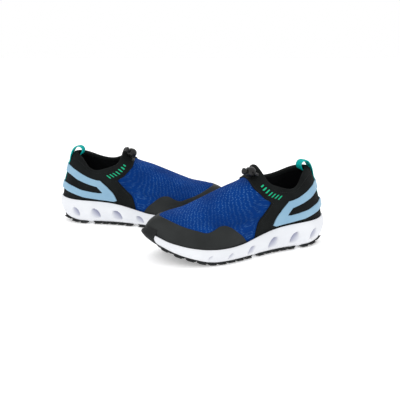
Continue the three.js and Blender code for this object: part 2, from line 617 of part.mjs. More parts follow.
/** Point on the midsole's outer wall at u, moved out along the way that row faces. */
function wallPoint(u, { inset, share, face }, out) {
  const [x, y] = outlinePoint(u, inset - face[0] * out);
  const [coreX] = outlinePoint(u, inset);
  const low = profileHeight(tread, coreX) + SOLE_UNDERSIDE;
  const high = profileHeight(lip, coreX);
  return new THREE.Vector3(x, y, mix(low, high, share) + face[1] * out);
}

/** u of the point of the inset outline that lies at x, on the lateral or the medial side. */
function edgeStation(x, inset, side) {
  let near = side === 'lateral' ? 0 : 1;
  let far = HEEL;
  for (let pass = 0; pass < 40; pass += 1) {
    const middle = (near + far) / 2;
    if (outlinePoint(middle, inset)[0] > x) near = middle;
    else far = middle;
  }
  return (near + far) / 2;
}

/** A leaf-shaped cutter standing in the midsole's side, steep at its toe end, shallow behind. */
function scoopCutter({ station, length, lean }, side) {
  const toToe = side === 'lateral' ? -1 : 1;
  const width = SCOOP_SLENDER * length;
  const leaf = new THREE.Shape();
  leaf.moveTo(0, -length / 2);
  leaf.quadraticCurveTo(toToe * width * 0.3, 0, 0, length / 2);
  leaf.quadraticCurveTo(-toToe * width * 1.7, 0, 0, -length / 2);
  const depth = Math.min(SCOOP_DEPTH, SCOOP_DEPTH_SHARE * length);
  const solid = new THREE.ExtrudeGeometry(leaf, {
    depth: 3 * SCOOP_DEPTH, bevelEnabled: false, curveSegments: 4 });
  solid.rotateY(toToe * Math.atan2(depth, width));
  solid.rotateZ(toToe * THREE.MathUtils.degToRad(lean));
  solid.translate(0, 0, -depth / 3);
  const u = edgeStation(station * SCALE.x, 0, side);
  const origin = wallPoint(u, { inset: 0, share: SCOOP_LEVEL, face: [1, 0] }, 0);
  const outward = wallPoint(u, { inset: 0, share: SCOOP_LEVEL, face: [1, 0] }, 1).sub(origin);
  const up = new THREE.Vector3(0, 0, 1);
  const frame = new THREE.Matrix4().makeBasis(up.clone().cross(outward), up, outward);
  return toSolid(solid.applyMatrix4(frame.setPosition(origin)));
}

function buildMidsole() {
  const wallRings = WALL_ROWS.map((row) => (u) => wallPoint(u, row, 0));
  const cupRing = (inset, profile, drop) => (u) => {
    const [x, y] = outlinePoint(u, inset - LAYER_GAP);
    return new THREE.Vector3(x, y, profileHeight(profile, x) - drop);
  };
  const body = stackedRings(52, [
    ...wallRings, cupRing(LIP_WALL, lip, 0.4), cupRing(LIP_WALL + CUP_DRAFT, board, LAYER_GAP)]);
  return toGeometry(SCOOPS.reduce((solid, scoop) => solid
    .subtract(scoopCutter(scoop, 'lateral'))
    .subtract(scoopCutter(scoop, 'medial')), toSolid(body)));
}

/** A plate on the underside between two stations, from one share of its width to another. */
function underPlate(from, to, shares, columns, rows, low, high) {
  const at = (rise) => (s, t) => {
    const x = mix(from, to, t);
    const medial = outlinePoint(edgeStation(x, PAD_INSET, 'medial'), PAD_INSET)[1];
    const lateral = outlinePoint(edgeStation(x, PAD_INSET, 'lateral'), PAD_INSET)[1];
    return new THREE.Vector3(
      x, mix(medial, lateral, mix(shares[0], shares[1], s)), profileHeight(tread, x) + rise);
  };
  return thickSheet(columns, rows, false, at(high), at(low));
}

/** One tread pad with its rows of lugs. */
function buildTreadPad({ from, to, lugRows }) {
  const start = from * SCALE.x;
  const end = to * SCALE.x;
  const pitch = (end - start) / lugRows;
  const top = LUG_HEIGHT + RUBBER_WALL;
  const plate = underPlate(start, end, [0, 1], 2, 2 * lugRows, LUG_HEIGHT, top);
  let solid = toSolid(plate);
  for (let row = 0; row < lugRows; row += 1) {
    LUG_SHARES.forEach((shares) => {
      const lug = underPlate(start + pitch * (row + LUG_GROOVE / 2),
        start + pitch * (row + 1 - LUG_GROOVE / 2), shares, 1, 1, 0, LUG_HEIGHT + RUBBER_WALL / 2);
      solid = solid.add(toSolid(lug));
    });
  }
  return toGeometry(solid);
}

/** The rubber bumper that wraps up the toe over the midsole and the foot of the toe cap. */
function buildToeBumper() {
  const foot = { inset: PAD_INSET - BUMPER_TO_PAD, share: 0, face: [0.2, -0.98] };
  const rows = [
    ...[foot, ...WALL_ROWS.slice(1, 5)].map((row) => (u, out) => wallPoint(u, row, out)),
    ...BUMPER_CAP_LEVELS.map((v) => (u, out) => layerPoint(u, v, out))];
  const at = (out) => (s, t) => rows[Math.round(t * (rows.length - 1))](
    mix(BUMPER_SPAN[0], BUMPER_SPAN[1], s), out);
  return thickSheet(12, rows.length - 1, false, at(BUMPER_GAP), at(BUMPER_GAP + BUMPER_WALL));
}

// ---- Cord lock -------------------------------------------------------------------------------
/** Where the lock sits on the collar front, with the ways its button and its cord point. */
function placeLock({ axis, cordWay }) {
  const standOff = LOCK_DIAMETER / 2 + LAYER_GAP;
  return {
    centre: layerPoint(LOCK_STATION[0], LOCK_STATION[1], standOff),
    axis: new THREE.Vector3(...axis).normalize(),
    cordWay: new THREE.Vector3(...cordWay).normalize() };
}

/** A turned piece from (radius, height) points along the lock's axis. */
function turned(profile, sides, lock) {
  const geometry = new THREE.LatheGeometry(profile.map(([r, h]) => new THREE.Vector2(r, h)), sides);
  return aimed(geometry.rotateX(Math.PI / 2), lock.centre, lock.axis);
}

/** A round or slotted cutter for the cord across the lock, reaching ahead along its axis. */
function cordCutter(lock, ahead) {
  const radius = CORD_DIAMETER / 2 + CORD_CLEARANCE;
  const slot = new THREE.Shape();
  slot.absarc(0, 0, radius, Math.PI, 2 * Math.PI, false);
  slot.absarc(0, ahead, radius, 0, Math.PI, false);
  const cutter = new THREE.ExtrudeGeometry(slot, {
    depth: 2 * LOCK_DIAMETER, bevelEnabled: false, curveSegments: 4 });
  cutter.translate(0, 0, -LOCK_DIAMETER);
  const across = lock.axis.clone().cross(lock.cordWay);
  const frame = new THREE.Matrix4().makeBasis(across, lock.axis, lock.cordWay);
  return toSolid(cutter.applyMatrix4(frame.setPosition(lock.centre)));
}

const SOCKET_RADIUS = STEM_DIAMETER / 2 + STEM_CLEARANCE;
const SOCKET_FLOOR = -LOCK_DIAMETER / 2 + 1.5;
const LOCK_MOUTH = LOCK_LENGTH / 2;
const STEM_END = SOCKET_FLOOR + BUTTON_TRAVEL + SPRING_SOLID;

function buildLockBarrel(lock) {
  const radius = LOCK_DIAMETER / 2;
  const ball = (angle) => [radius * Math.cos(angle), radius * Math.sin(angle)];
  const back = [-90, -65, -40, -18, 0, 22].map((deg) => ball(THREE.MathUtils.degToRad(deg)));
  const profile = [
    ...back, [radius * 0.8, LOCK_MOUTH - 1], [radius * 0.68, LOCK_MOUTH],
    [SOCKET_RADIUS, LOCK_MOUTH], [SOCKET_RADIUS, SOCKET_FLOOR], [0, SOCKET_FLOOR]];
  profile[0][0] = 0;
  return toGeometry(toSolid(turned(profile, 10, lock)).subtract(cordCutter(lock, 0)));
}

function buildLockButton(lock) {
  const under = LOCK_MOUTH + BUTTON_TRAVEL + STEM_CLEARANCE;
  const cap = BUTTON_DIAMETER / 2;
  const profile = [
    [0, STEM_END], [STEM_DIAMETER / 2, STEM_END], [STEM_DIAMETER / 2, under], [cap * 0.86, under],
    [cap, under + 0.8], [cap, under + 2.6], [cap * 0.7, under + 3.7], [0, under + 4]];
  return toGeometry(toSolid(turned(profile, 10, lock)).subtract(cordCutter(lock, BUTTON_TRAVEL)));
}

/** The coil spring under the button's stem. */
function buildLockSpring(lock) {
  const wire = 0.5;
  const low = SOCKET_FLOOR + LAYER_GAP / 2 + wire / 2;
  const high = STEM_END - LAYER_GAP / 2 - wire / 2;
  const turns = 2.5;
  const radius = STEM_DIAMETER / 2 - wire;
  const points = Array.from({ length: 31 }, (_, i) => {
    const angle = 2 * Math.PI * turns * i / 30;
    return new THREE.Vector3(
      radius * Math.cos(angle), radius * Math.sin(angle), mix(low, high, i / 30));
  });
  const coil = tube(new THREE.CatmullRomCurve3(points), wire, 4, 24);
  return aimed(coil, lock.centre, lock.axis);
}

function buildCordEnd(lock) {
  const start = LOCK_DIAMETER / 2 + LOCK_TRAVEL + CORD_TAIL + SOLE_GAP;
  const radius = CORD_DIAMETER * 0.95;
  const profile = [
    [0, start], [radius * 0.8, start], [radius, start + 1], [radius * 0.85, start + 5], [0, start + 6]];
  const geometry = new THREE.LatheGeometry(profile.map(([r, h]) => new THREE.Vector2(r, h)), 10);
  return aimed(geometry.rotateX(Math.PI / 2), lock.centre, lock.cordWay);
}

// ---- Colours ---------------------------------------------------------------------------------
const finish = (colour, roughness) => new THREE.MeshStandardMaterial({
  color: colour, roughness, metalness: 0 });
const RUBBER = finish(0x17181a, 0.75);
const FOAM_WHITE = finish(0xe8e9ee, 0.55);
const BLUE_KNIT = finish(0x16409a, 0.85);
const CAP_BLACK = finish(0x2b2c2e, 0.45);
const NEOPRENE = finish(0x1a1b1c, 0.7);
const LINING_BLACK = finish(0x0c0d0e, 0.9);
const PALE_BLUE = finish(0x9fc3da, 0.4);
const TEAL = finish(0x0fae9f, 0.6);
const LOCK_BLACK = finish(0x1c1d1e, 0.35);
const BOARD_GREY = finish(0xb9b6ae, 0.9);
const PAD_FOAM = finish(0x3a3c40, 0.9);
const STEEL = finish(0xb0b3b6, 0.35);

// ---- Assembly --------------------------------------------------------------------------------
/** All the pieces of one shoe, in the left shoe's own frame. */
function shoePieces(lock) {
  const [forefoot, waist, heel] = TREAD_PADS.map(buildTreadPad);
  return {
    outsole_forefoot: [forefoot, RUBBER],
    outsole_waist: [waist, RUBBER],
    outsole_heel: [heel, RUBBER],
    toe_bumper: [buildToeBumper(), RUBBER],
    midsole: [buildMidsole(), FOAM_WHITE],
    strobel_board: [buildStrobelBoard(), BOARD_GREY],
    insole: [buildInsole(), LINING_BLACK],
    lining_sock: [buildLining(), LINING_BLACK],
    heel_counter: [buildHeelCounter(), BOARD_GREY],
    collar_foam: [buildCollarFoam(), PAD_FOAM],
    vamp: [buildVamp(), BLUE_KNIT],
    toe_cap: [buildToeCap(), CAP_BLACK],
    collar_saddle: [buildSaddle(lock), NEOPRENE],
    collar_mark: [buildCollarMark(), TEAL],
    heel_overlay: [buildHeelOverlay(), PALE_BLUE],
    pull_tape: [buildPullTape(), TEAL],
    drawcord: [buildDrawcord(lock), LOCK_BLACK],
    cord_end: [buildCordEnd(lock), LOCK_BLACK],
    lock_barrel: [buildLockBarrel(lock), LOCK_BLACK],
    lock_button: [buildLockButton(lock), LOCK_BLACK],
    lock_spring: [buildLockSpring(lock), STEEL] };
}

/** The same geometry for the other foot, with its faces still pointing out. */
function mirrored(geometry) {
  const flipped = mergeVertices(bareGeometry(geometry), 1e-5).scale(1, -1, 1);
  const { array } = flipped.index;
  for (let i = 0; i < array.length; i += 3) {
    [array[i], array[i + 1]] = [array[i + 1], array[i]];
  }
  return flipped;
}

/** One shoe as a group of named meshes, set down at its place. */
function buildShoe(side, place, lockWays) {
  const isRight = side === 'right';
  const shoe = new THREE.Group();
  Object.entries(shoePieces(placeLock(lockWays))).forEach(([name, [geometry, material]]) => {
    const mesh = new THREE.Mesh(isRight ? mirrored(geometry) : geometry, material);
    mesh.name = `${side}_${name}`;
    mesh.position.x = -PLACE_STATION * SCALE.x;
    shoe.add(mesh);
  });
  const yaw = THREE.MathUtils.degToRad(place.yaw);
  shoe.rotation.z = isRight ? -yaw : Math.PI + yaw;
  shoe.position.set(place.x * SCALE.x, place.y * SCALE.y, 0);
  return shoe;
}

const group = new THREE.Group();
const pair = new THREE.Group();
pair.add(buildShoe('left', LEFT_PLACE, LEFT_LOCK), buildShoe('right', RIGHT_PLACE, RIGHT_LOCK));
pair.updateMatrixWorld(true);
const box = new THREE.Box3().setFromObject(pair, true);
pair.position.set(-(box.min.x + box.max.x) / 2, -(box.min.y + box.max.y) / 2, -box.min.z);
group.add(pair);

export default group;
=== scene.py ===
"""Looks of a pair of low slip-on water shoes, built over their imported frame."""

import json
import logging
import math
from dataclasses import dataclass
from enum import Enum
from typing import Callable, Sequence

import bmesh
import bpy
import numpy as np
from mathutils import Matrix, Vector

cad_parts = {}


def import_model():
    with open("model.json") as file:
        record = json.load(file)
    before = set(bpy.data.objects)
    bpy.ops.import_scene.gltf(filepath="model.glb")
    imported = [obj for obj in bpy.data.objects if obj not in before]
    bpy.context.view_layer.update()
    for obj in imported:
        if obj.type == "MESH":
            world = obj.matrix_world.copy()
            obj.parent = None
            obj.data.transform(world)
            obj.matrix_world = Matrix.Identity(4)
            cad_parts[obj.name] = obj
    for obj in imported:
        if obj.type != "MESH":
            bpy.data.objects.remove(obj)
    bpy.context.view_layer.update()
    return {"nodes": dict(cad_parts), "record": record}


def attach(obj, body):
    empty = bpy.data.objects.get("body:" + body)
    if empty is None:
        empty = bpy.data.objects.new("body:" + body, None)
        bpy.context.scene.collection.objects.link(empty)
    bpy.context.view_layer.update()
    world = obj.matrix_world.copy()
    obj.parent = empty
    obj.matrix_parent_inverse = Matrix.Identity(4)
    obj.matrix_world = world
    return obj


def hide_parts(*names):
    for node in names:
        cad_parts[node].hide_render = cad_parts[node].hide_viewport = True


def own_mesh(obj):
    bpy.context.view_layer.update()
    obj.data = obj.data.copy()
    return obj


LOG = logging.getLogger("water_shoes")
MM = 0.001
CLOTH = "cloth"
# Name of the attribute holding the scoops' depth, which the foam uses for its painted shade in them.
PAINTED_SCOOP_SHADE = "hollow"
Line = Sequence[tuple[float, float]]

# ---- Sizes shared by the layers, in millimetres -----------------------------------------------
SADDLE_WALL = 1.4
LAYER_GAP = 0.6
CORD_DIAMETER = 2.0
CHANNEL_DEPTH = CORD_DIAMETER + 1.8
LINING_OUTER = -SADDLE_WALL - CHANNEL_DEPTH
LINING_INNER = LINING_OUTER - 1.0
LIP_WALL = 4.5
CUP_DRAFT = 2.0
BOARD_WALL = 1.6
INSOLE_WALL = 4.0
SOLE_GAP = 0.3
RUBBER_WALL = 1.8
LUG_HEIGHT = 1.3
PAD_INSET = 4.6
PAD_ROUNDING = 1.2
LUG_ROW_INSET = 5.0
LUG_SPACING = 11.6
FOAM_RISE = LUG_HEIGHT + RUBBER_WALL + SOLE_GAP
SCOOP_DEEPEST = 4.4
SCOOP_SLENDER = 0.92
SCOOP_TILT = 6.0
BUMPER_ROUNDING = 1.6
BUMPER_RIBS = 11
BUMPER_RIB_HEIGHT = 0.28
TOE_SWELL = 2.6
LOCK_DIAMETER = 13.5
LOCK_LENGTH = 12.0
BUTTON_DIAMETER = 8.4
BUTTON_TRAVEL = 2.4
LOCK_TRAVEL = 5.0
CORD_TAIL = 1.5
CORD_LEVEL = 0.955
SEAT_LEVEL = -0.12
HEEL = 0.5


class Side(Enum):
    """Which foot a shoe is for."""

    LEFT = "left"
    RIGHT = "right"


class Edge(Enum):
    """Which of a sheet's borders are rounded over."""

    ALL = "all"
    UPPER = "upper"
    NONE = "none"


# ---- The last ---------------------------------------------------------------------------------
SOLE_OUTLINE = [
    (258, -8), (251, 11), (233, 32.5), (204, 49.5), (165, 54), (120, 45.5), (75, 38.5), (24, 33),
    (-2, 0), (24, -32), (75, -33.5), (120, -33), (165, -42), (204, -47.5), (229, -40.5), (247, -27)]
RING_LOW = [
    (245, -8, 53), (240, 5, 51), (223, 24, 45.5), (198, 41.5, 42), (160, 48, 39), (117, 41, 42),
    (73, 35.5, 46), (26, 29, 50), (4.5, 0, 51), (26, -28, 50), (73, -30.5, 48), (117, -31, 44),
    (160, -40, 39), (197, -41.5, 42), (219, -33, 47), (236, -21, 51.5)]
RING_INSTEP = [
    (199, -7, 66), (197, 9, 65), (188, 25, 61.5), (172, 36, 56.5), (143, 42, 55), (107, 38, 56.5),
    (68, 34, 58), (28, 27, 65), (8, 0, 65), (28, -26.5, 66), (69, -31, 62), (108, -33.5, 60),
    (144, -38, 56), (172, -35, 59), (187, -26, 64), (196, -16, 66)]
RING_ANKLE = [
    (146, -5, 87), (144, 8, 86), (139, 21, 81.5), (132, 30, 76), (117, 34, 72), (92, 32.5, 71),
    (61, 30.5, 70.5), (31, 22.5, 81.5), (12.5, 0, 81), (32, -22.5, 86), (62, -30, 77),
    (93, -33, 76), (118, -33, 76), (132, -28.5, 81), (138, -20, 85), (144, -12, 87)]
RING_COLLAR = [
    (113, -4, 99.5), (112.5, 6, 98.5), (111, 14, 95.5), (109, 22, 90.5), (101, 28.5, 84),
    (82, 29.3, 79.5), (57, 27.5, 78.5), (33, 18, 93), (17, 0, 96), (34, -18, 98), (58, -28, 88),
    (83, -31, 86.5), (99, -29, 90), (108, -23.5, 94.5), (111, -17, 97.5), (112.5, -10.5, 99)]
RING_TOPLINE = [
    (104, -4, 111.5), (103.5, 4, 109.5), (102.5, 12, 105.5), (100, 20, 99), (94, 26, 91),
    (77, 28, 84), (55, 26, 82.5), (36, 16, 99), (23, 0, 105.5), (36, -16, 103.5), (56, -27, 94),
    (77, -30, 91), (91.5, -27.5, 95.5), (99.5, -23, 101.5), (102.5, -18, 107),
    (103.5, -11.5, 110.5)]
RING_LEVELS = np.array([0, 0.12, 0.42, 0.72, 0.9, 1.0])
LIP_PROFILE = [
    (-2, 39.5), (15, 38), (30, 37.4), (60, 36.4), (80, 35), (97, 32.8), (112, 29.8), (128, 26.2),
    (145, 22.8), (160, 21.6), (175, 21.4), (190, 22.2), (210, 24.8), (225, 28), (236, 31.2),
    (245, 35.5), (252, 39), (258, 41.5)]
BOARD_PROFILE = [
    (-2, 25.5), (30, 24), (60, 22), (100, 18.5), (140, 13.5), (170, 12.2), (200, 14), (225, 20.5),
    (240, 27), (250, 33), (258, 37)]
TREAD_PROFILE = [
    (-2, 12), (6, 8), (14, 4.6), (24, 1.8), (38, 0), (176, 0), (190, 1.2), (207, 5.4), (227, 12),
    (241, 19), (250, 25), (258, 32)]


def ring_controls(points: Sequence[Sequence[float]]) -> np.ndarray:
    """Finds the control points of a closed cubic spline that passes through the points.

    Args:
        points: The points that the ring passes through, in order.

    Returns:
        One control point for each point.
    """
    target = np.array(points, float)
    controls = target.copy()
    for _ in range(60):
        for i in range(len(target)):
            after = controls[(i + 1) % len(target)]
            controls[i] = (6 * target[i] - controls[i - 1] - after) / 4
    return controls


def ring_point(controls: np.ndarray, u: np.ndarray) -> np.ndarray:
    """Evaluates a closed spline ring.

    Args:
        controls: The ring's control points.
        u: Stations round the ring, where 1 is once round.

    Returns:
        A point for each station.
    """
    count = len(controls)
    place = np.mod(u, 1.0) * count
    i = np.floor(place).astype(int)
    f = (place - i)[..., None]
    weights = (
        (1 - f) ** 3 / 6,
        (3 * f**3 - 6 * f**2 + 4) / 6,
        (-3 * f**3 + 3 * f**2 + 3 * f + 1) / 6,
        f**3 / 6)
    return sum(w * controls[(i + k - 1) % count] for k, w in enumerate(weights))


def profile_height(profile: Sequence[tuple[float, float]], x: np.ndarray) -> np.ndarray:
    """Reads a smooth height profile that never overshoots its points.

    Args:
        profile: (x, height) points.
        x: Where to read it.

    Returns:
        A height for each x.
    """
    px, py = np.array(profile, float).T
    width = np.diff(px)
    slope = np.diff(py) / width
    tangent = np.empty_like(px)
    tangent[0], tangent[-1] = slope[0], slope[-1]
    product = slope[:-1] * slope[1:]
    total = slope[:-1] + slope[1:]
    rising = product > 0
    tangent[1:-1] = np.where(rising, 2 * product / np.where(rising, total, 1), 0)
    x = np.clip(x, px[0], px[-1])
    i = np.clip(np.searchsorted(px, x, side="right") - 1, 0, len(px) - 2)
    t = (x - px[i]) / width[i]
    return (
        py[i] * (2 * t**3 - 3 * t**2 + 1) + tangent[i] * width[i] * (t**3 - 2 * t**2 + t)
        + py[i + 1] * (-2 * t**3 + 3 * t**2) + tangent[i + 1] * width[i] * (t**3 - t**2))


def along_line(points: Line, t: np.ndarray, smooth: bool = True) -> np.ndarray:
    """Runs along a line of points, each of its segments taking an equal share.

    Args:
        points: The line's points.
        t: Places along it, from 0 to 1.
        smooth: Whether the line curves through its points or has corners at them.

    Returns:
        A point for each t.
    """
    array = np.array(points, float)
    place = np.clip(t, 0, 1) * (len(array) - 1)
    i = np.minimum(np.floor(place).astype(int), len(array) - 2)
    f = (place - i)[..., None]
    a, b = array[i], array[i + 1]
    if not smooth:
        return a + (b - a) * f
    before = np.vstack([2 * array[0] - array[1], array])[i]
    after = np.vstack([array, 2 * array[-1] - array[-2]])[i + 2]
    return 0.5 * (
        2 * a + (b - before) * f + (2 * before - 5 * a + 4 * b - after) * f**2
        + (3 * a - before - 3 * b + after) * f**3)


def unit(vectors: np.ndarray) -> np.ndarray:
    """Returns the vectors at length one."""
    return vectors / np.maximum(np.linalg.norm(vectors, axis=-1, keepdims=True), 1e-12)


def smooth_step(low: float, high: float, x: np.ndarray) -> np.ndarray:
    """Returns 0 below low, 1 above high and a smooth rise between them."""
    t = np.clip((x - low) / (high - low), 0, 1)
    return t * t * (3 - 2 * t)


def toe_share(u: np.ndarray) -> np.ndarray:
    """Returns how near each station is to the tip of the toe, from 0 to 1."""
    return np.exp(-(((u + 0.006) / 0.07) ** 2))


class Last:
    """The form that both shoes are built on, in the left shoe's own frame in millimetres."""

    def __init__(self) -> None:
        """Fits the spline rings of the sole's outline and the upper."""
        self.outline_controls = ring_controls(SOLE_OUTLINE)
        self.seat = ring_controls(self._footprint(LIP_WALL + CUP_DRAFT, BOARD_PROFILE))
        feather = self._footprint(LIP_WALL, LIP_PROFILE)
        rings = [feather, RING_LOW, RING_INSTEP, RING_ANKLE, RING_COLLAR, RING_TOPLINE]
        self.rings = [ring_controls(ring) for ring in rings]

    def _footprint(self, inset: float, profile: Line) -> np.ndarray:
        """Returns sixteen points inset from the outline, each at its height on a profile."""
        plan = self.outline(np.arange(16) / 16, np.full(16, inset))
        return np.column_stack([plan, profile_height(profile, plan[:, 0])])

    def outline(self, u: np.ndarray, inset: np.ndarray) -> np.ndarray:
        """Finds plan points on the sole's outline, moved inwards.

        Args:
            u: Stations round the sole.
            inset: How far in each point is, in millimetres.

        Returns:
            An (x, y) point for each station.
        """
        step = 1e-4
        spot = ring_point(self.outline_controls, u)
        along = unit(
            ring_point(self.outline_controls, u + step)
            - ring_point(self.outline_controls, u - step))
        inward = np.stack([-along[..., 1], along[..., 0]], -1)
        return spot + inward * np.asarray(inset)[..., None]

    def edge_station(self, x: np.ndarray, inset: float, lateral: bool) -> np.ndarray:
        """Finds u where the inset outline lies at each x, on one side of the sole."""
        u = np.linspace(0.02, HEEL - 0.02, 600)
        u = u if lateral else 1 - u
        spots = self.outline(u, np.full(len(u), inset))[:, 0]
        order = np.argsort(spots)
        return np.interp(x, spots[order], u[order])

    def point(self, u: np.ndarray, v: np.ndarray) -> np.ndarray:
        """Finds points on the outside of the upper.

        Args:
            u: Stations round the shoe, from the front to the lateral side, heel and medial side.
            v: Levels, from 0 at the midsole's edge to 1 at the topline.

        Returns:
            A point for each pair.
        """
        u, v = np.broadcast_arrays(np.asarray(u, float), np.asarray(v, float))
        rows = np.stack([ring_point(ring, u) for ring in self.rings])
        gap = np.diff(RING_LEVELS)
        slope = np.diff(rows, axis=0) / gap.reshape(-1, *([1] * (rows.ndim - 1)))
        tangent = np.empty_like(rows)
        for j in range(1, len(self.rings) - 1):
            tangent[j] = (slope[j - 1] * gap[j] + slope[j] * gap[j - 1]) / (gap[j] + gap[j - 1])
        tangent[0] = 1.5 * slope[0] - 0.5 * tangent[1]
        tangent[-1] = 1.5 * slope[-1] - 0.5 * tangent[-2]
        i = np.clip(np.searchsorted(RING_LEVELS, v, side="right") - 1, 0, len(gap) - 1)
        t = ((v - RING_LEVELS[i]) / gap[i])[..., None]
        h = gap[i][..., None]

        def pick(table: np.ndarray, level: np.ndarray) -> np.ndarray:
            """Takes each point's own level from a table of rings."""
            return np.take_along_axis(table, level[None, ..., None], 0)[0]

        above = (
            pick(rows, i) * (2 * t**3 - 3 * t**2 + 1)
            + pick(tangent, i) * h * (t**3 - 2 * t**2 + t)
            + pick(rows, i + 1) * (-2 * t**3 + 3 * t**2)
            + pick(tangent, i + 1) * h * (t**3 - t**2))
        share = (v / SEAT_LEVEL)[..., None]
        below = rows[0] + (ring_point(self.seat, u) - rows[0]) * share
        return np.where(v[..., None] < 0, below, above)

    def normal(self, u: np.ndarray, v: np.ndarray) -> np.ndarray:
        """Finds the outward normals of the upper at (u, v)."""
        step = 1e-3
        round_way = self.point(u + step, v) - self.point(u - step, v)
        return unit(np.cross(round_way, self.rise(u, v)))

    def rise(self, u: np.ndarray, v: np.ndarray) -> np.ndarray:
        """Finds the direction up the surface of the upper at (u, v)."""
        step = 1e-3
        high, low = np.minimum(v + step, 1), np.maximum(v - step, SEAT_LEVEL)
        return unit(self.point(u, high) - self.point(u, low))

    def layer(self, u: np.ndarray, v: np.ndarray, depth: np.ndarray) -> np.ndarray:
        """Finds points at a depth outside (or, below zero, inside) the upper's outer face."""
        return self.point(u, v) + self.normal(u, v) * np.asarray(depth)[..., None]


LAST = Last()


# ---- Lines on the upper, as (u, v), lateral half ------------------------------------------------
def ring_line(half: Line) -> list[tuple[float, float]]:
    """Returns a line round the back of the shoe from its lateral half, which ends at the heel."""
    return [*half, *((2 * HEEL - u, v) for u, v in list(half)[-2::-1])]


def front_line(half: Line) -> list[tuple[float, float]]:
    """Returns a line across the front from its lateral half, which starts at the front."""
    return [*((-u, v) for u, v in list(half)[:0:-1]), *half]


SADDLE_EDGE = [
    (0, 0.872), (0.145, 0.848), (0.226, 0.838), (0.272, 0.775), (0.311, 0.653), (0.312, 0.4),
    (0.307, 0.15), (0.316, SEAT_LEVEL)]
SADDLE_SHOULDER = [(u, 1.0) for u in (0, 0.1, 0.18, 0.235, 0.285, 0.31, 0.32, 0.335)]
REAR = [21 / 60 + i / 60 for i in range(10)]
VAMP_TOP = [
    (0, 0.89), (0.15, 0.868), (0.24, 0.857), (0.29, 0.79), (0.328, 0.66), (0.33, 0.4),
    (0.326, 0.15), (0.333, 0.02)]
VAMP_BOTTOM = [(u, SEAT_LEVEL) for u in (0, 0.06, 0.12, 0.18, 0.23, 0.27, 0.3, 0.33)]
CAP_TOP = [
    (0, 0.2), (0.05, 0.198), (0.096, 0.185), (0.14, 0.164), (0.175, 0.146), (0.2, 0.132),
    (0.213, 0.18), (0.218, 0.255), (0.228, 0.27), (0.242, 0.22), (0.26, 0.14), (0.28, 0.06),
    (0.296, -0.03)]
CAP_BOTTOM = [
    (u, SEAT_LEVEL) for u in (
        0, 0.04, 0.08, 0.115, 0.15, 0.18, 0.2, 0.215, 0.23, 0.245, 0.262, 0.28, 0.298)]
FOAM_BOTTOM = [(0.22, 0.885), (0.28, 0.83), (0.32, 0.72), (0.35, 0.64), (0.41, 0.6), (0.5, 0.62)]
FOAM_TOP = [(u, 0.91) for u in (0.22, 0.27, 0.31, 0.35, 0.41, 0.5)]
OVERLAY_OUTER = [
    (0.5, 0.82), (0.47, 0.78), (0.445, 0.72), (0.42, 0.68), (0.392, 0.665), (0.362, 0.67),
    (0.354, 0.45), (0.347, 0.06), (0.355, 0.032), (0.383, 0.028), (0.412, 0.042), (0.436, 0.08),
    (0.465, 0.11), (0.5, 0.13)]
OVERLAY_WINDOW = [
    (0.5, 0.66), (0.474, 0.62), (0.452, 0.565), (0.428, 0.485), (0.404, 0.44), (0.381, 0.41),
    (0.378, 0.3), (0.374, 0.18), (0.382, 0.162), (0.395, 0.163), (0.417, 0.178), (0.436, 0.235),
    (0.465, 0.3), (0.5, 0.33)]


# ---- Meshes -------------------------------------------------------------------------------------
@dataclass
class Placing:
    """Where one shoe stands, and how its local millimetres become metres in the frame."""

    side: Side
    turn: float
    origin: np.ndarray

    @classmethod
    def of(cls, side: Side, record: dict) -> "Placing":
        """Reads a shoe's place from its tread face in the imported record.

        Args:
            side: Which shoe.
            record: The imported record, whose mounts give the face's place.

        Returns:
            The shoe's placing.
        """
        turn = math.radians(180 + 23.0) if side is Side.LEFT else math.radians(-5.9)
        mount = next(m for m in record["mounts"] if m["name"] == f"{side.value}_tread_face")
        place = cls(side, turn, np.zeros(3))
        known = place.world(np.array([[136.7, 6.5, 0.0]]))[0]
        place.origin = np.array(mount["pos_m"]) / MM - known / MM
        place.origin[2] = 0.0
        return place

    def world(self, points: np.ndarray) -> np.ndarray:
        """Returns local millimetre points as metres in the frame."""
        return (self.turned(points) + self.origin) * MM

    def turned(self, vectors: np.ndarray) -> np.ndarray:
        """Returns local directions as directions in the frame."""
        v = np.array(vectors, float)
        if self.side is Side.RIGHT:
            v[..., 1] *= -1
        c, s = math.cos(self.turn), math.sin(self.turn)
        return np.stack([c * v[..., 0] - s * v[..., 1], s * v[..., 0] + c * v[..., 1], v[..., 2]], -1)


def new_mesh(
    name: str, place: Placing, points: np.ndarray, faces: Sequence[Sequence[int]],
    uv: np.ndarray | None = None, uv_faces: Sequence[Sequence[int]] | None = None,
) -> bpy.types.Object:
    """Makes a mesh object from local points, with its faces outwards on either foot.

    Args:
        name: The piece's name.
        place: The shoe's placing.
        points: Local points in millimetres.
        faces: Corners of each face, anticlockwise from outside on the left shoe.
        uv: Places along the cloth in millimetres, which uv_faces points to.
        uv_faces: For each face, which uv each of its corners takes.

    Returns:
        The linked object.
    """
    step = -1 if place.side is Side.RIGHT else 1
    mesh = bpy.data.meshes.new(name)
    mesh.from_pydata(place.world(points).tolist(), [], [list(face)[::step] for face in faces])
    if uv is not None:
        layer = mesh.uv_layers.new(name=CLOTH)
        order = np.concatenate([list(face)[::step] for face in uv_faces or faces])
        layer.data.foreach_set("uv", uv[order].astype(np.float32).ravel())
    mesh.polygons.foreach_set("use_smooth", np.ones(len(mesh.polygons), bool))
    mesh.update()
    made = bpy.data.objects.new(name, mesh)
    bpy.context.scene.collection.objects.link(made)
    return made


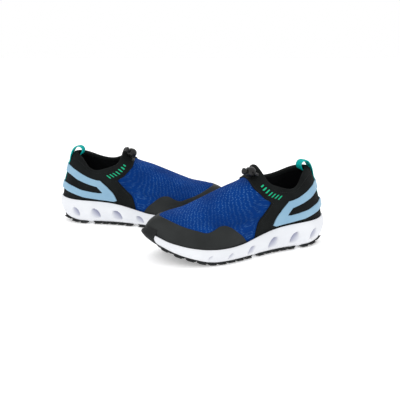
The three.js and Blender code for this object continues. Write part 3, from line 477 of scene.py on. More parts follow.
def shell(
    name: str, place: Placing, inner: np.ndarray, outer: np.ndarray, closed: bool,
) -> bpy.types.Object:
    """Makes a closed solid between two faces given on the same grid.

    Args:
        name: The piece's name.
        place: The shoe's placing.
        inner: The hidden face, as columns by rows of points.
        outer: The shown face, on the same grid.
        closed: Whether the last column joins the first.

    Returns:
        The object, with a cloth map that measures its surface in millimetres.
    """
    columns, rows = outer.shape[:2]
    wrap = np.vstack([outer, outer[:1]]) if closed else outer
    across = np.linalg.norm(np.diff(wrap, axis=0), axis=-1)
    up = np.linalg.norm(np.diff(wrap, axis=1), axis=-1)
    u = np.zeros(wrap.shape[:2])
    u[1:] = np.cumsum(across, 0)
    u -= u[len(u) // 2]
    v = np.zeros(wrap.shape[:2])
    v[:, 1:] = np.cumsum(up, 1)
    uv = np.stack([u, v], -1).reshape(-1, 2)
    count = columns * rows
    points = np.vstack([outer.reshape(-1, 3), inner.reshape(-1, 3)])
    spans = columns if closed else columns - 1
    faces: list[list[int]] = []
    uv_faces: list[list[int]] = []

    def corner(i: int, j: int, hidden: bool) -> int:
        """Returns a grid point's index on the shown or the hidden face."""
        return (i % columns) * rows + j + count * hidden

    def add(*corners: tuple[int, int, bool]) -> None:
        """Adds a face from its (column, row, hidden) corners."""
        faces.append([corner(*c) for c in corners])
        uv_faces.append([i * rows + j for i, j, _ in corners])

    for i in range(spans):
        for j in range(rows - 1):
            add((i, j, False), (i + 1, j, False), (i + 1, j + 1, False), (i, j + 1, False))
            add((i, j, True), (i, j + 1, True), (i + 1, j + 1, True), (i + 1, j, True))
        top = rows - 1
        add((i, 0, True), (i + 1, 0, True), (i + 1, 0, False), (i, 0, False))
        add((i, top, False), (i + 1, top, False), (i + 1, top, True), (i, top, True))
    if not closed:
        end = columns - 1
        for j in range(rows - 1):
            add((0, j, True), (0, j, False), (0, j + 1, False), (0, j + 1, True))
            add((end, j, False), (end, j, True), (end, j + 1, True), (end, j + 1, False))
    return new_mesh(name, place, points, faces, uv, uv_faces)


def eased(count: int, border: float = 0.012) -> np.ndarray:
    """Returns places from 0 to 1 that crowd together near both ends, for rounded borders."""
    edge = border * np.array([0, 0.12, 0.35, 0.65])
    return np.concatenate([edge, np.linspace(border, 1 - border, count), 1 - edge[::-1]])


@dataclass
class Patch:
    """A layer of the upper between two lines on it.

    Fields are the bottom and top lines, whether it closes round the shoe, its two depths, how
    many columns and rows it has, how its borders are rounded, and an extra depth by place.
    """

    bottom: Line
    top: Line
    closed: bool
    inner: float
    outer: float
    columns: int
    rows: int
    edge: Edge = Edge.ALL
    round_over: float = 1.0
    extra: Callable[[np.ndarray, np.ndarray], np.ndarray] | None = None
    smooth: bool = True

    def grid(self) -> tuple[np.ndarray, np.ndarray]:
        """Returns u and v on the patch's grid of columns by rows."""
        if self.closed:
            s = np.arange(self.columns) / self.columns
        else:
            s = eased(self.columns, 0.006)
        t = eased(self.rows)
        low, high = (along_line(line, s, self.smooth)[:, None] for line in (self.bottom, self.top))
        both = low + (high - low) * t[None, :, None]
        return both[..., 0], both[..., 1]

    def faces(self) -> tuple[np.ndarray, np.ndarray]:
        """Returns the inner and outer face points of the patch."""
        u, v = self.grid()
        base = LAST.point(u, v)
        reach = self._to_border(base)
        bulge = np.sqrt(np.clip(1 - (1 - np.clip(reach / self.round_over, 0, 1)) ** 2, 0, 1))
        extra = self.extra(u, v) if self.extra else np.zeros_like(u)
        normal = LAST.normal(u, v)
        outer = self.inner + (self.outer - self.inner) * np.maximum(bulge, 0.05)
        return (
            base + normal * (self.inner + extra)[..., None],
            base + normal * (outer + extra)[..., None])

    def _to_border(self, base: np.ndarray) -> np.ndarray:
        """Measures each point's distance to the nearest rounded border.

        Args:
            base: The sheet's points, in columns along it and rows up it.

        Returns:
            A distance in millimetres for each point, and a very large one where no border is round.
        """
        rise = np.zeros(base.shape[:2])
        rise[:, 1:] = np.cumsum(np.linalg.norm(np.diff(base, axis=1), axis=-1), 1)
        far = rise[:, -1:] - rise
        if self.edge is Edge.NONE:
            return np.full_like(rise, 1e3)
        if self.edge is Edge.UPPER:
            reach = far
        else:
            reach = np.minimum(rise, far)
        if not self.closed:
            run = np.zeros(base.shape[:2])
            run[1:] = np.cumsum(np.linalg.norm(np.diff(base, axis=0), axis=-1), 0)
            reach = np.minimum(reach, np.minimum(run, run[-1:] - run))
        return reach

    def build(self, name: str, place: Placing) -> bpy.types.Object:
        """Makes the patch as a closed solid for one shoe."""
        inner, outer = self.faces()
        return shell(name, place, inner, outer, self.closed)


def tube_mesh(
    name: str, place: Placing, path: np.ndarray, radius: np.ndarray, sides: int,
) -> bpy.types.Object:
    """Makes a tube along a path, closed at both ends.

    Args:
        name: The piece's name.
        place: The shoe's placing.
        path: Local points along its middle.
        radius: Its radius at each point.
        sides: How many sides it has.

    Returns:
        The object, whose cloth map runs round and along it.
    """
    along = unit(np.gradient(path, axis=0))
    side = np.zeros_like(path)
    guess = unit(np.cross(along[0], [0.0, 0.0, 1.0]))
    for i, way in enumerate(along):
        guess = unit(guess - way * np.dot(guess, way))
        side[i] = guess
    other = np.cross(along, side)
    angle = 2 * np.pi * np.arange(sides) / sides
    rings = path[:, None] + radius[:, None, None] * (
        np.cos(angle)[None, :, None] * side[:, None] + np.sin(angle)[None, :, None] * other[:, None])
    run = np.concatenate([[0], np.cumsum(np.linalg.norm(np.diff(path, axis=0), axis=1))])
    steps = len(path)
    faces: list[list[int]] = []
    uv_faces: list[list[int]] = []
    for i in range(steps - 1):
        for k in range(sides):
            n = (k + 1) % sides
            faces.append([i * sides + k, i * sides + n, (i + 1) * sides + n, (i + 1) * sides + k])
            row, wide = i * (sides + 1), sides + 1
            uv_faces.append([row + k, row + k + 1, row + wide + k + 1, row + wide + k])
    faces += [list(range(sides))[::-1], list(range((steps - 1) * sides, steps * sides))]
    uv_faces += [
        list(range(sides))[::-1],
        list(range((steps - 1) * (sides + 1), (steps - 1) * (sides + 1) + sides))]
    turn = np.linspace(0, 2 * np.pi * radius.max(), sides + 1)
    uv = np.stack([np.tile(turn, steps), np.repeat(run, sides + 1)], -1)
    return new_mesh(name, place, rings.reshape(-1, 3), faces, uv, uv_faces)


# ---- Geometry Nodes -----------------------------------------------------------------------------
class Repeater:
    """Sets copies of a small shape on points, as a Geometry Nodes tree, and makes one mesh of them."""

    def __init__(self, name: str, shape: bpy.types.Object, material: bpy.types.Material) -> None:
        """Builds the tree.

        Args:
            name: The tree's name.
            shape: The shape to repeat.
            material: The material of the result.
        """
        tree = bpy.data.node_groups.new(name, "GeometryNodeTree")
        sockets = tree.interface
        sockets.new_socket("Points", in_out="INPUT", socket_type="NodeSocketGeometry")
        self.size = sockets.new_socket("Size", in_out="INPUT", socket_type="NodeSocketFloat")
        self.spread = sockets.new_socket("Size Spread", in_out="INPUT", socket_type="NodeSocketFloat")
        self.seed = sockets.new_socket("Seed", in_out="INPUT", socket_type="NodeSocketInt")
        sockets.new_socket("Mesh", in_out="OUTPUT", socket_type="NodeSocketGeometry")
        node, link = tree.nodes.new, tree.links.new
        given, made = node("NodeGroupInput"), node("NodeGroupOutput")
        info = node("GeometryNodeObjectInfo")
        info.inputs["Object"].default_value = shape
        turn = node("GeometryNodeInputNamedAttribute")
        turn.data_type = "FLOAT_VECTOR"
        turn.inputs["Name"].default_value = "turn"
        euler = node("FunctionNodeEulerToRotation")
        change = node("FunctionNodeRandomValue")
        low, high = (self._math(tree, op, 1.0) for op in ("SUBTRACT", "ADD"))
        scale = self._math(tree, "MULTIPLY", 1.0)
        place = node("GeometryNodeInstanceOnPoints")
        real, dress = node("GeometryNodeRealizeInstances"), node("GeometryNodeSetMaterial")
        dress.inputs["Material"].default_value = material
        for end in (low, high):
            link(given.outputs["Size Spread"], end.inputs[1])
        link(low.outputs[0], change.inputs[2])
        link(high.outputs[0], change.inputs[3])
        link(given.outputs["Seed"], change.inputs["Seed"])
        link(change.outputs[1], scale.inputs[0])
        link(given.outputs["Size"], scale.inputs[1])
        link(given.outputs["Points"], place.inputs["Points"])
        link(info.outputs["Geometry"], place.inputs["Instance"])
        link(turn.outputs["Attribute"], euler.inputs[0])
        link(euler.outputs[0], place.inputs["Rotation"])
        link(scale.outputs[0], place.inputs["Scale"])
        link(place.outputs["Instances"], real.inputs["Geometry"])
        link(real.outputs["Geometry"], dress.inputs["Geometry"])
        link(dress.outputs["Geometry"], made.inputs["Mesh"])
        self.tree, self.shape = tree, shape

    @staticmethod
    def _math(tree: bpy.types.NodeTree, operation: str, first: float) -> bpy.types.Node:
        """Returns a math node whose first value is set."""
        node = tree.nodes.new("ShaderNodeMath")
        node.operation = operation
        node.inputs[0].default_value = first
        return node

    def finish(self) -> None:
        """Removes the shape once every copy is made."""
        bpy.data.objects.remove(self.shape)

    def on(
        self, name: str, place: Placing, spots: np.ndarray, along: np.ndarray, up: np.ndarray,
        spread: float = 0.0, seed: int = 1,
    ) -> bpy.types.Object:
        """Sets the shape on points and returns the plain mesh.

        Args:
            name: The piece's name.
            place: The shoe's placing.
            spots: Local points.
            along: Local direction of the shape's X axis at each point.
            up: Local direction of its Z axis at each point.
            spread: How much the copies differ in size.
            seed: The seed of that difference.

        Returns:
            One mesh object at the origin.
        """
        mesh = bpy.data.meshes.new(name + "_points")
        mesh.from_pydata(place.world(spots).tolist(), [], [])
        turn = mesh.attributes.new("turn", "FLOAT_VECTOR", "POINT")
        ways, ups = unit(place.turned(along)), unit(place.turned(up))
        eulers = []
        for way, rise in zip(ways, ups):
            side = unit(np.cross(rise, way))
            front = np.cross(side, rise)
            eulers.append(Matrix(np.column_stack([front, side, rise]).tolist()).to_euler("XYZ"))
        turn.data.foreach_set("vector", np.array(eulers, np.float32).ravel())
        points = bpy.data.objects.new(name + "_points", mesh)
        bpy.context.scene.collection.objects.link(points)
        modifier = points.modifiers.new("Repeat", "NODES")
        modifier.node_group = self.tree
        modifier[self.size.identifier] = 1.0
        modifier[self.spread.identifier] = spread
        modifier[self.seed.identifier] = seed
        graph = bpy.context.evaluated_depsgraph_get()
        plain = bpy.data.meshes.new_from_object(points.evaluated_get(graph), depsgraph=graph)
        plain.name = name
        bpy.data.objects.remove(points)
        made = bpy.data.objects.new(name, plain)
        bpy.context.scene.collection.objects.link(made)
        return made


def hidden_shape(name: str, mesh: bmesh.types.BMesh) -> bpy.types.Object:
    """Turns a bmesh into a hidden shape for a repeater.

    Args:
        name: The shape's name.
        mesh: The shape in millimetres, which is used up.

    Returns:
        The shape in metres.
    """
    data = bpy.data.meshes.new(name)
    bmesh.ops.scale(mesh, vec=(MM, MM, MM), verts=mesh.verts)
    bmesh.ops.recalc_face_normals(mesh, faces=mesh.faces)
    mesh.to_mesh(data)
    mesh.free()
    shape = bpy.data.objects.new(name, data)
    bpy.context.scene.collection.objects.link(shape)
    return shape


def stitch_shape(length: float, width: float) -> bpy.types.Object:
    """Returns a sewn stitch as a small flattened bead, with its sizes in millimetres."""
    mesh = bmesh.new()
    bmesh.ops.create_uvsphere(mesh, u_segments=6, v_segments=5, radius=0.5)
    bmesh.ops.rotate(mesh, verts=mesh.verts, matrix=Matrix.Rotation(math.pi / 2, 3, "Y"))
    bmesh.ops.scale(mesh, vec=(length, width, width * 0.8), verts=mesh.verts)
    return hidden_shape("stitch_shape", mesh)


def lug_shape(length: float, width: float, height: float) -> bpy.types.Object:
    """Makes a tread lug as a low chevron with drafted sides and its foot at z 0.

    Args:
        length: Its size along the sole, in millimetres.
        width: Its size across the sole.
        height: How far it stands out.

    Returns:
        The hidden shape.
    """
    mesh = bmesh.new()
    bend, draft = length * 0.34, 0.82
    plan = [
        (-width / 2, -length / 2 - bend / 2), (0, -length / 2 + bend / 2),
        (width / 2, -length / 2 - bend / 2), (width / 2, length / 2 - bend / 2),
        (0, length / 2 + bend / 2), (-width / 2, length / 2 - bend / 2)]
    rings = [
        [mesh.verts.new((y * k, x * k, z)) for x, y in plan]
        for z, k in ((0, 1.0), (height * 0.8, 0.9), (height, draft))]
    for low, high in zip(rings, rings[1:]):
        for i in range(6):
            n = (i + 1) % 6
            mesh.faces.new((low[i], low[n], high[n], high[i]))
    for ring in (rings[0], rings[-1]):
        mesh.faces.new((ring[0], ring[1], ring[4], ring[5]))
        mesh.faces.new((ring[1], ring[2], ring[3], ring[4]))
    return hidden_shape("lug_shape", mesh)


# ---- Finishes -----------------------------------------------------------------------------------
def linear(red: int, green: int, blue: int) -> tuple[float, float, float, float]:
    """Returns a display colour from 0 to 255 as a linear one."""
    def one(value: int) -> float:
        """Returns one channel."""
        c = value / 255
        return c / 12.92 if c <= 0.04045 else ((c + 0.055) / 1.055) ** 2.4
    return one(red), one(green), one(blue), 1.0


class Surface:
    """A material being put together node by node."""

    def __init__(self, name: str, roughness: float, **constants: float) -> None:
        """Starts a material with one shader.

        Args:
            name: The material's name.
            roughness: The shader's base roughness.
            **constants: Values set on the shader's own sockets, with _ for each space.
        """
        self.material = bpy.data.materials.new(name)
        self.material.use_nodes = True
        self.tree = self.material.node_tree
        self.shader = self.tree.nodes["Principled BSDF"]
        self.shader.inputs["Roughness"].default_value = roughness
        for key, value in constants.items():
            self.shader.inputs[key.replace("_", " ")].default_value = value

    def node(self, kind: str, inputs: dict | None = None, **settings: object) -> bpy.types.Node:
        """Adds a node.

        Args:
            kind: The node's type name, without its ShaderNode start.
            inputs: Values or output sockets for its inputs, by name or index.
            **settings: Properties set on the node.

        Returns:
            The node.
        """
        made = self.tree.nodes.new("ShaderNode" + kind)
        for key, value in settings.items():
            setattr(made, key, value)
        for key, value in (inputs or {}).items():
            if isinstance(value, bpy.types.NodeSocket):
                self.tree.links.new(value, made.inputs[key])
            else:
                made.inputs[key].default_value = value
        return made

    def math(self, operation: str, *values: object) -> bpy.types.NodeSocket:
        """Adds a math node and returns its result."""
        return self.node("Math", dict(enumerate(values)), operation=operation).outputs[0]

    def place(self) -> bpy.types.NodeSocket:
        """Returns the point on the object, in metres."""
        return self.node("TexCoord").outputs["Object"]

    def cloth(self) -> tuple[bpy.types.NodeSocket, bpy.types.NodeSocket]:
        """Returns the two ways along the cloth, in millimetres."""
        uv = self.node("UVMap", uv_map=CLOTH).outputs[0]
        split = self.node("SeparateXYZ", {0: uv})
        return split.outputs[0], split.outputs[1]

    def noise(self, scale: float, detail: float = 3.0, rough: float = 0.5) -> bpy.types.NodeSocket:
        """Returns a noise over the object; scale is in waves per metre."""
        return self.node("TexNoise", {
            "Vector": self.place(), "Scale": scale, "Detail": detail, "Roughness": rough}).outputs[0]

    def wave(self, along: bpy.types.NodeSocket, pitch: float) -> bpy.types.NodeSocket:
        """Returns a cosine wave along one way, of a pitch in millimetres."""
        return self.math("COSINE", self.math("MULTIPLY", along, 2 * math.pi / pitch))

    def ramp(self, value: bpy.types.NodeSocket, *stops: tuple[float, tuple]) -> bpy.types.NodeSocket:
        """Looks a colour up from a value.

        Args:
            value: The value, from 0 to 1.
            *stops: Where each colour stands, and the colour.

        Returns:
            The colour.
        """
        node = self.node("ValToRGB", {0: value})
        elements = node.color_ramp.elements
        while len(elements) < len(stops):
            elements.new(0.5)
        for element, (spot, colour) in zip(elements, stops):
            element.position = spot
            element.color = colour
        return node.outputs[0]

    def span(
        self, value: bpy.types.NodeSocket, low: float, high: float, to_low: float, to_high: float,
    ) -> bpy.types.NodeSocket:
        """Returns a value mapped from one span to another."""
        return self.node("MapRange", {
            0: value, 1: low, 2: high, 3: to_low, 4: to_high}).outputs[0]

    def blend(
        self, share: bpy.types.NodeSocket, first: object, second: object,
    ) -> bpy.types.NodeSocket:
        """Mixes two colours.

        Args:
            share: How much of the second is in it, from 0 to 1.
            first: The first colour, as a value or a socket.
            second: The second colour, as a value or a socket.

        Returns:
            The mixed colour.
        """
        node = self.node("Mix", data_type="RGBA")
        for key, value in ((0, share), (6, first), (7, second)):
            if isinstance(value, bpy.types.NodeSocket):
                self.tree.links.new(value, node.inputs[key])
            else:
                node.inputs[key].default_value = value
        return node.outputs[2]

    def colour(self, value: bpy.types.NodeSocket) -> None:
        """Gives the shader its colour."""
        self.tree.links.new(value, self.shader.inputs["Base Color"])

    def rough(self, value: bpy.types.NodeSocket) -> None:
        """Gives the shader a roughness that changes over the surface."""
        self.tree.links.new(value, self.shader.inputs["Roughness"])

    def bump(self, *heights: tuple[bpy.types.NodeSocket, float]) -> None:
        """Adds bumps one on another; each height comes with its depth in metres."""
        normal: bpy.types.NodeSocket | None = None
        for height, depth in heights:
            inputs = {"Height": height, "Distance": depth, "Strength": 1.0}
            if normal is not None:
                inputs["Normal"] = normal
            normal = self.node("Bump", inputs).outputs[0]
        self.tree.links.new(normal, self.shader.inputs["Normal"])


@dataclass(frozen=True)
class MeshKnit:
    """Blue knit with slanted rows of small pale specks, about a pitch apart in millimetres."""

    pitch: float = 3.6

    def build(self) -> bpy.types.Material:
        """Returns the vamp's material."""
        s = Surface("mesh_knit", 0.75, Specular_IOR_Level=0.06)
        x, y = s.cloth()
        slanted = s.node("CombineXYZ", {0: s.math("ADD", x, y), 1: s.math("SUBTRACT", x, y)})
        cells = s.node(
            "TexVoronoi", {
                "Vector": slanted.outputs[0], "Scale": 0.72 / self.pitch, "Randomness": 0.42},
            voronoi_dimensions="2D").outputs[0]
        loops = s.span(cells, 0.0, 0.6, 1, -1)
        fine = s.math("MULTIPLY", s.wave(x, 1.1), s.wave(y, 0.9))
        patch, stray = s.noise(24.0), s.noise(300.0)
        ground = s.blend(
            s.span(patch, 0.3, 0.7, 0, 1), linear(2, 46, 112), linear(4, 58, 132))
        shown = s.span(
            s.math("ADD", loops, s.math("MULTIPLY", stray, 1.1)), 0.75, 1.5, 0, 1)
        shown = s.math("MULTIPLY", shown, s.span(patch, 0.38, 0.6, 0.3, 0.9))
        s.colour(s.blend(shown, ground, linear(84, 134, 192)))
        s.rough(s.span(loops, -1, 1, 0.85, 0.6))
        s.bump((loops, 0.00025), (fine, 0.00005))
        return s.material


@dataclass(frozen=True)
class FusedFilm:
    """Matt film pressed over cloth, with a fine leathery grain."""

    name: str
    dark: tuple[int, int, int]
    pale: tuple[int, int, int]
    roughness: float
    grain: float

    def build(self) -> bpy.types.Material:
        """Returns the film's material."""
        s = Surface(self.name, self.roughness, Specular_IOR_Level=0.22)
        broad, fine = s.noise(38.0), s.noise(900.0, 4.0, 0.6)
        cells = s.node("TexVoronoi", {"Vector": s.place(), "Scale": 1300.0}).outputs[0]
        s.colour(s.blend(s.span(broad, 0.3, 0.7, 0, 1), linear(*self.dark), linear(*self.pale)))
        s.rough(s.span(fine, 0.3, 0.7, self.roughness - 0.08, self.roughness + 0.1))
        s.bump((cells, self.grain), (fine, self.grain * 0.6), (broad, 0.0004))
        return s.material


@dataclass(frozen=True)
class Jersey:
    """Close knit cloth with rows of small loops, as on neoprene and linings."""

    name: str
    dark: tuple[int, int, int]
    pale: tuple[int, int, int]
    pitch: float

    def build(self) -> bpy.types.Material:
        """Returns the cloth's material."""
        s = Surface(self.name, 0.75, Specular_IOR_Level=0.07)
        x, y = s.cloth()
        loops = s.math("MULTIPLY", s.wave(x, self.pitch), s.wave(y, self.pitch * 0.8))
        broad, fluff = s.noise(45.0), s.noise(1500.0)
        tone = s.blend(s.span(broad, 0.3, 0.7, 0, 1), linear(*self.dark), linear(*self.pale))
        s.colour(s.blend(s.span(loops, -1, 1, 0.35, 0), tone, linear(*self.dark)))
        s.rough(s.span(fluff, 0.3, 0.7, 0.62, 0.86))
        s.bump((loops, 0.00006), (fluff, 0.00005), (broad, 0.0005))
        return s.material


@dataclass(frozen=True)
class Webbing:
    """Narrow woven tape with ribs across it."""

    name: str
    dark: tuple[int, int, int]
    pale: tuple[int, int, int]
    rib: float

    def build(self) -> bpy.types.Material:
        """Returns the tape's material."""
        s = Surface(self.name, 0.6, Specular_IOR_Level=0.12)
        x, y = s.cloth()
        weave = s.math("MULTIPLY", s.wave(x, self.rib * 1.2), s.wave(y, self.rib))
        s.colour(s.ramp(
            s.span(weave, -1, 1, 0, 1), (0.0, linear(*self.dark)), (0.6, linear(*self.pale))))
        s.rough(s.span(s.noise(700.0), 0.3, 0.7, 0.5, 0.75))
        s.bump((weave, 0.0001))
        return s.material


@dataclass(frozen=True)
class FoamSkin:
    """Moulded foam with a thin satin skin and faint marks of its mould, and painted lavender shade in
    its scoops, strongest where they are cut deepest.
    """

    def build(self) -> bpy.types.Material:
        """Returns the midsole's material."""
        s = Surface("foam_skin", 0.5, Specular_IOR_Level=0.3)
        broad, fine = s.noise(30.0), s.noise(1100.0, 4.0, 0.6)
        cells = s.node("TexVoronoi", {"Vector": s.place(), "Scale": 650.0}).outputs[0]
        skin = s.blend(
            s.span(broad, 0.3, 0.7, 0, 1), linear(219, 221, 226), linear(227, 229, 233))
        # Painted lavender shade in the scoops, strongest where they are cut deepest.
        hollow = s.node("Attribute", attribute_name=PAINTED_SCOOP_SHADE).outputs["Fac"]
        s.colour(s.blend(s.span(hollow, 0.2, 1.0, 0, 1), skin, linear(120, 123, 158)))
        s.rough(s.span(fine, 0.3, 0.7, 0.42, 0.6))
        s.bump((cells, 0.00004), (fine, 0.00005))
        return s.material


@dataclass(frozen=True)
class Rubber:
    """Moulded rubber, matt and finely pebbled, scuffed a little paler."""

    name: str = "tread_rubber"

    def build(self) -> bpy.types.Material:
        """Returns the rubber's material."""
        s = Surface(self.name, 0.6, Specular_IOR_Level=0.2)
        broad, fine = s.noise(60.0, 5.0, 0.6), s.noise(1400.0)
        cells = s.node("TexVoronoi", {"Vector": s.place(), "Scale": 900.0}).outputs[0]
        s.colour(s.ramp(
            broad, (0.35, linear(22, 24, 25)), (0.6, linear(30, 32, 33)),
            (0.78, linear(41, 43, 44))))
        s.rough(s.span(broad, 0.3, 0.7, 0.5, 0.72))
        s.bump((cells, 0.00012), (fine, 0.00005))
        return s.material


@dataclass(frozen=True)
class Plastic:
    """Satin moulded plastic or metal with fine scratches."""

    name: str
    tone: tuple[int, int, int]
    roughness: float
    metallic: float = 0.0

    def build(self) -> bpy.types.Material:
        """Returns the plastic's material."""
        s = Surface(
            self.name, self.roughness, Metallic=self.metallic, Specular_IOR_Level=0.35)
        broad, fine = s.noise(220.0), s.noise(2600.0)
        deeper = tuple(int(c * 0.8) for c in self.tone)
        s.colour(s.blend(s.span(broad, 0.3, 0.7, 0, 1), linear(*deeper), linear(*self.tone)))
        s.rough(s.span(fine, 0.3, 0.7, self.roughness - 0.06, self.roughness + 0.1))
        s.bump((fine, 0.00002), (broad, 0.00006))
        return s.material


@dataclass(frozen=True)
class Fibre:
    """Pressed fibre or open foam, mottled and rough."""

    name: str
    dark: tuple[int, int, int]
    pale: tuple[int, int, int]

    def build(self) -> bpy.types.Material:
        """Returns the fibre's material."""
        s = Surface(self.name, 0.9)
        fine = s.noise(1200.0, 5.0, 0.7)
        s.colour(s.blend(s.span(fine, 0.3, 0.7, 0, 1), linear(*self.dark), linear(*self.pale)))
        s.bump((fine, 0.0002))
        return s.material


class Finishes:
    """Every material of the pair, built once."""

    def __init__(self) -> None:
        """Builds the materials."""
        self.knit = MeshKnit().build()
        self.cap = FusedFilm("cap_film", (27, 30, 30), (36, 39, 39), 0.46, 0.00009).build()
        self.overlay = FusedFilm(
            "overlay_film", (130, 168, 194), (140, 177, 200), 0.4, 0.00003).build()
        self.print = FusedFilm("teal_print", (6, 170, 120), (16, 188, 136), 0.4, 0.00002).build()
        self.neoprene = Jersey("saddle_neoprene", (18, 20, 20), (27, 30, 30), 0.9).build()
        self.lining = Jersey("lining_jersey", (9, 10, 11), (17, 18, 20), 1.4).build()
        self.tape = Webbing("teal_webbing", (0, 140, 138), (0, 182, 176), 1.1).build()
        self.cord = Webbing("cord_braid", (12, 13, 14), (38, 40, 41), 1.3).build()
        self.foam = FoamSkin().build()
        self.rubber = Rubber().build()
        self.plastic = Plastic("lock_plastic", (20, 21, 22), 0.36).build()
        self.steel = Plastic("spring_steel", (176, 178, 181), 0.3, 1.0).build()
        self.thread = Plastic("black_thread", (26, 28, 29), 0.7).build()
        self.board = Fibre("board_fibre", (150, 147, 140), (186, 183, 176)).build()
        self.padding = Fibre("padding_foam", (42, 44, 48), (60, 62, 66)).build()


# ---- Shoe ---------------------------------------------------------------------------------------
@dataclass
class Shoe:
    """What every sub-assembly of one shoe shares: its placing, finishes and how pieces are kept."""

    place: Placing
    finish: Finishes

    def name(self, piece: str) -> str:
        """Returns a piece's name on this foot."""
        return f"{self.place.side.value}_{piece}"

    def keep(
        self, piece: bpy.types.Object, material: bpy.types.Material, slot: str,
        stands_for: Sequence[str] = (), body: str = "shoe",
    ) -> bpy.types.Object:
        """Dresses a finished piece, sets it on its body and logs it.

        Args:
            piece: The finished object.
            material: Its material.
            slot: The record's material slot; not used.
            stands_for: The frame nodes it replaces, without their side.
            body: The body it rides on, without its side.

        Returns:
            The same object.
        """
        piece.data.materials.clear()
        piece.data.materials.append(material)
        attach(piece, self.name(body))
        if stands_for:
            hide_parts(*[self.name(node) for node in stands_for])
        LOG.info("%s: %d faces on %s", piece.name, len(piece.data.polygons), body)
        return piece


@dataclass
class Scoop:
    """A leaf-shaped hollow in the midsole's side, with its station, length and lean."""

    station: float
    length: float
    lean: float

    def depth_at(self, run: np.ndarray, height: np.ndarray) -> np.ndarray:
        """Measures the hollow at places on the wall.

        Args:
            run: Distance from the scoop's middle towards the toe.
            height: Distance above its middle.

        Returns:
            How deep the wall is cut there.
        """
        lean = math.radians(self.lean + SCOOP_TILT)
        across = -run * math.cos(lean) - height * math.sin(lean)
        along = height * math.cos(lean) - run * math.sin(lean)
        half = self.length / 2
        arch = np.clip(1 - (along / half) ** 2, 0, None)
        width = SCOOP_SLENDER * self.length
        toe_edge, heel_edge = -0.26 * width * arch, 0.74 * width * arch
        span = np.maximum(heel_edge - toe_edge, 1e-6)
        floor = np.clip((heel_edge - across) / span, 0, 1)
        inside = (np.abs(along) < half) & (across > toe_edge - 0.01) & (across < heel_edge)
        wall = smooth_step(0.0, 0.9, across - toe_edge)
        deepest = min(SCOOP_DEEPEST, 0.26 * self.length)
        return np.where(inside, deepest * floor * wall * np.minimum(arch * 3, 1), 0)


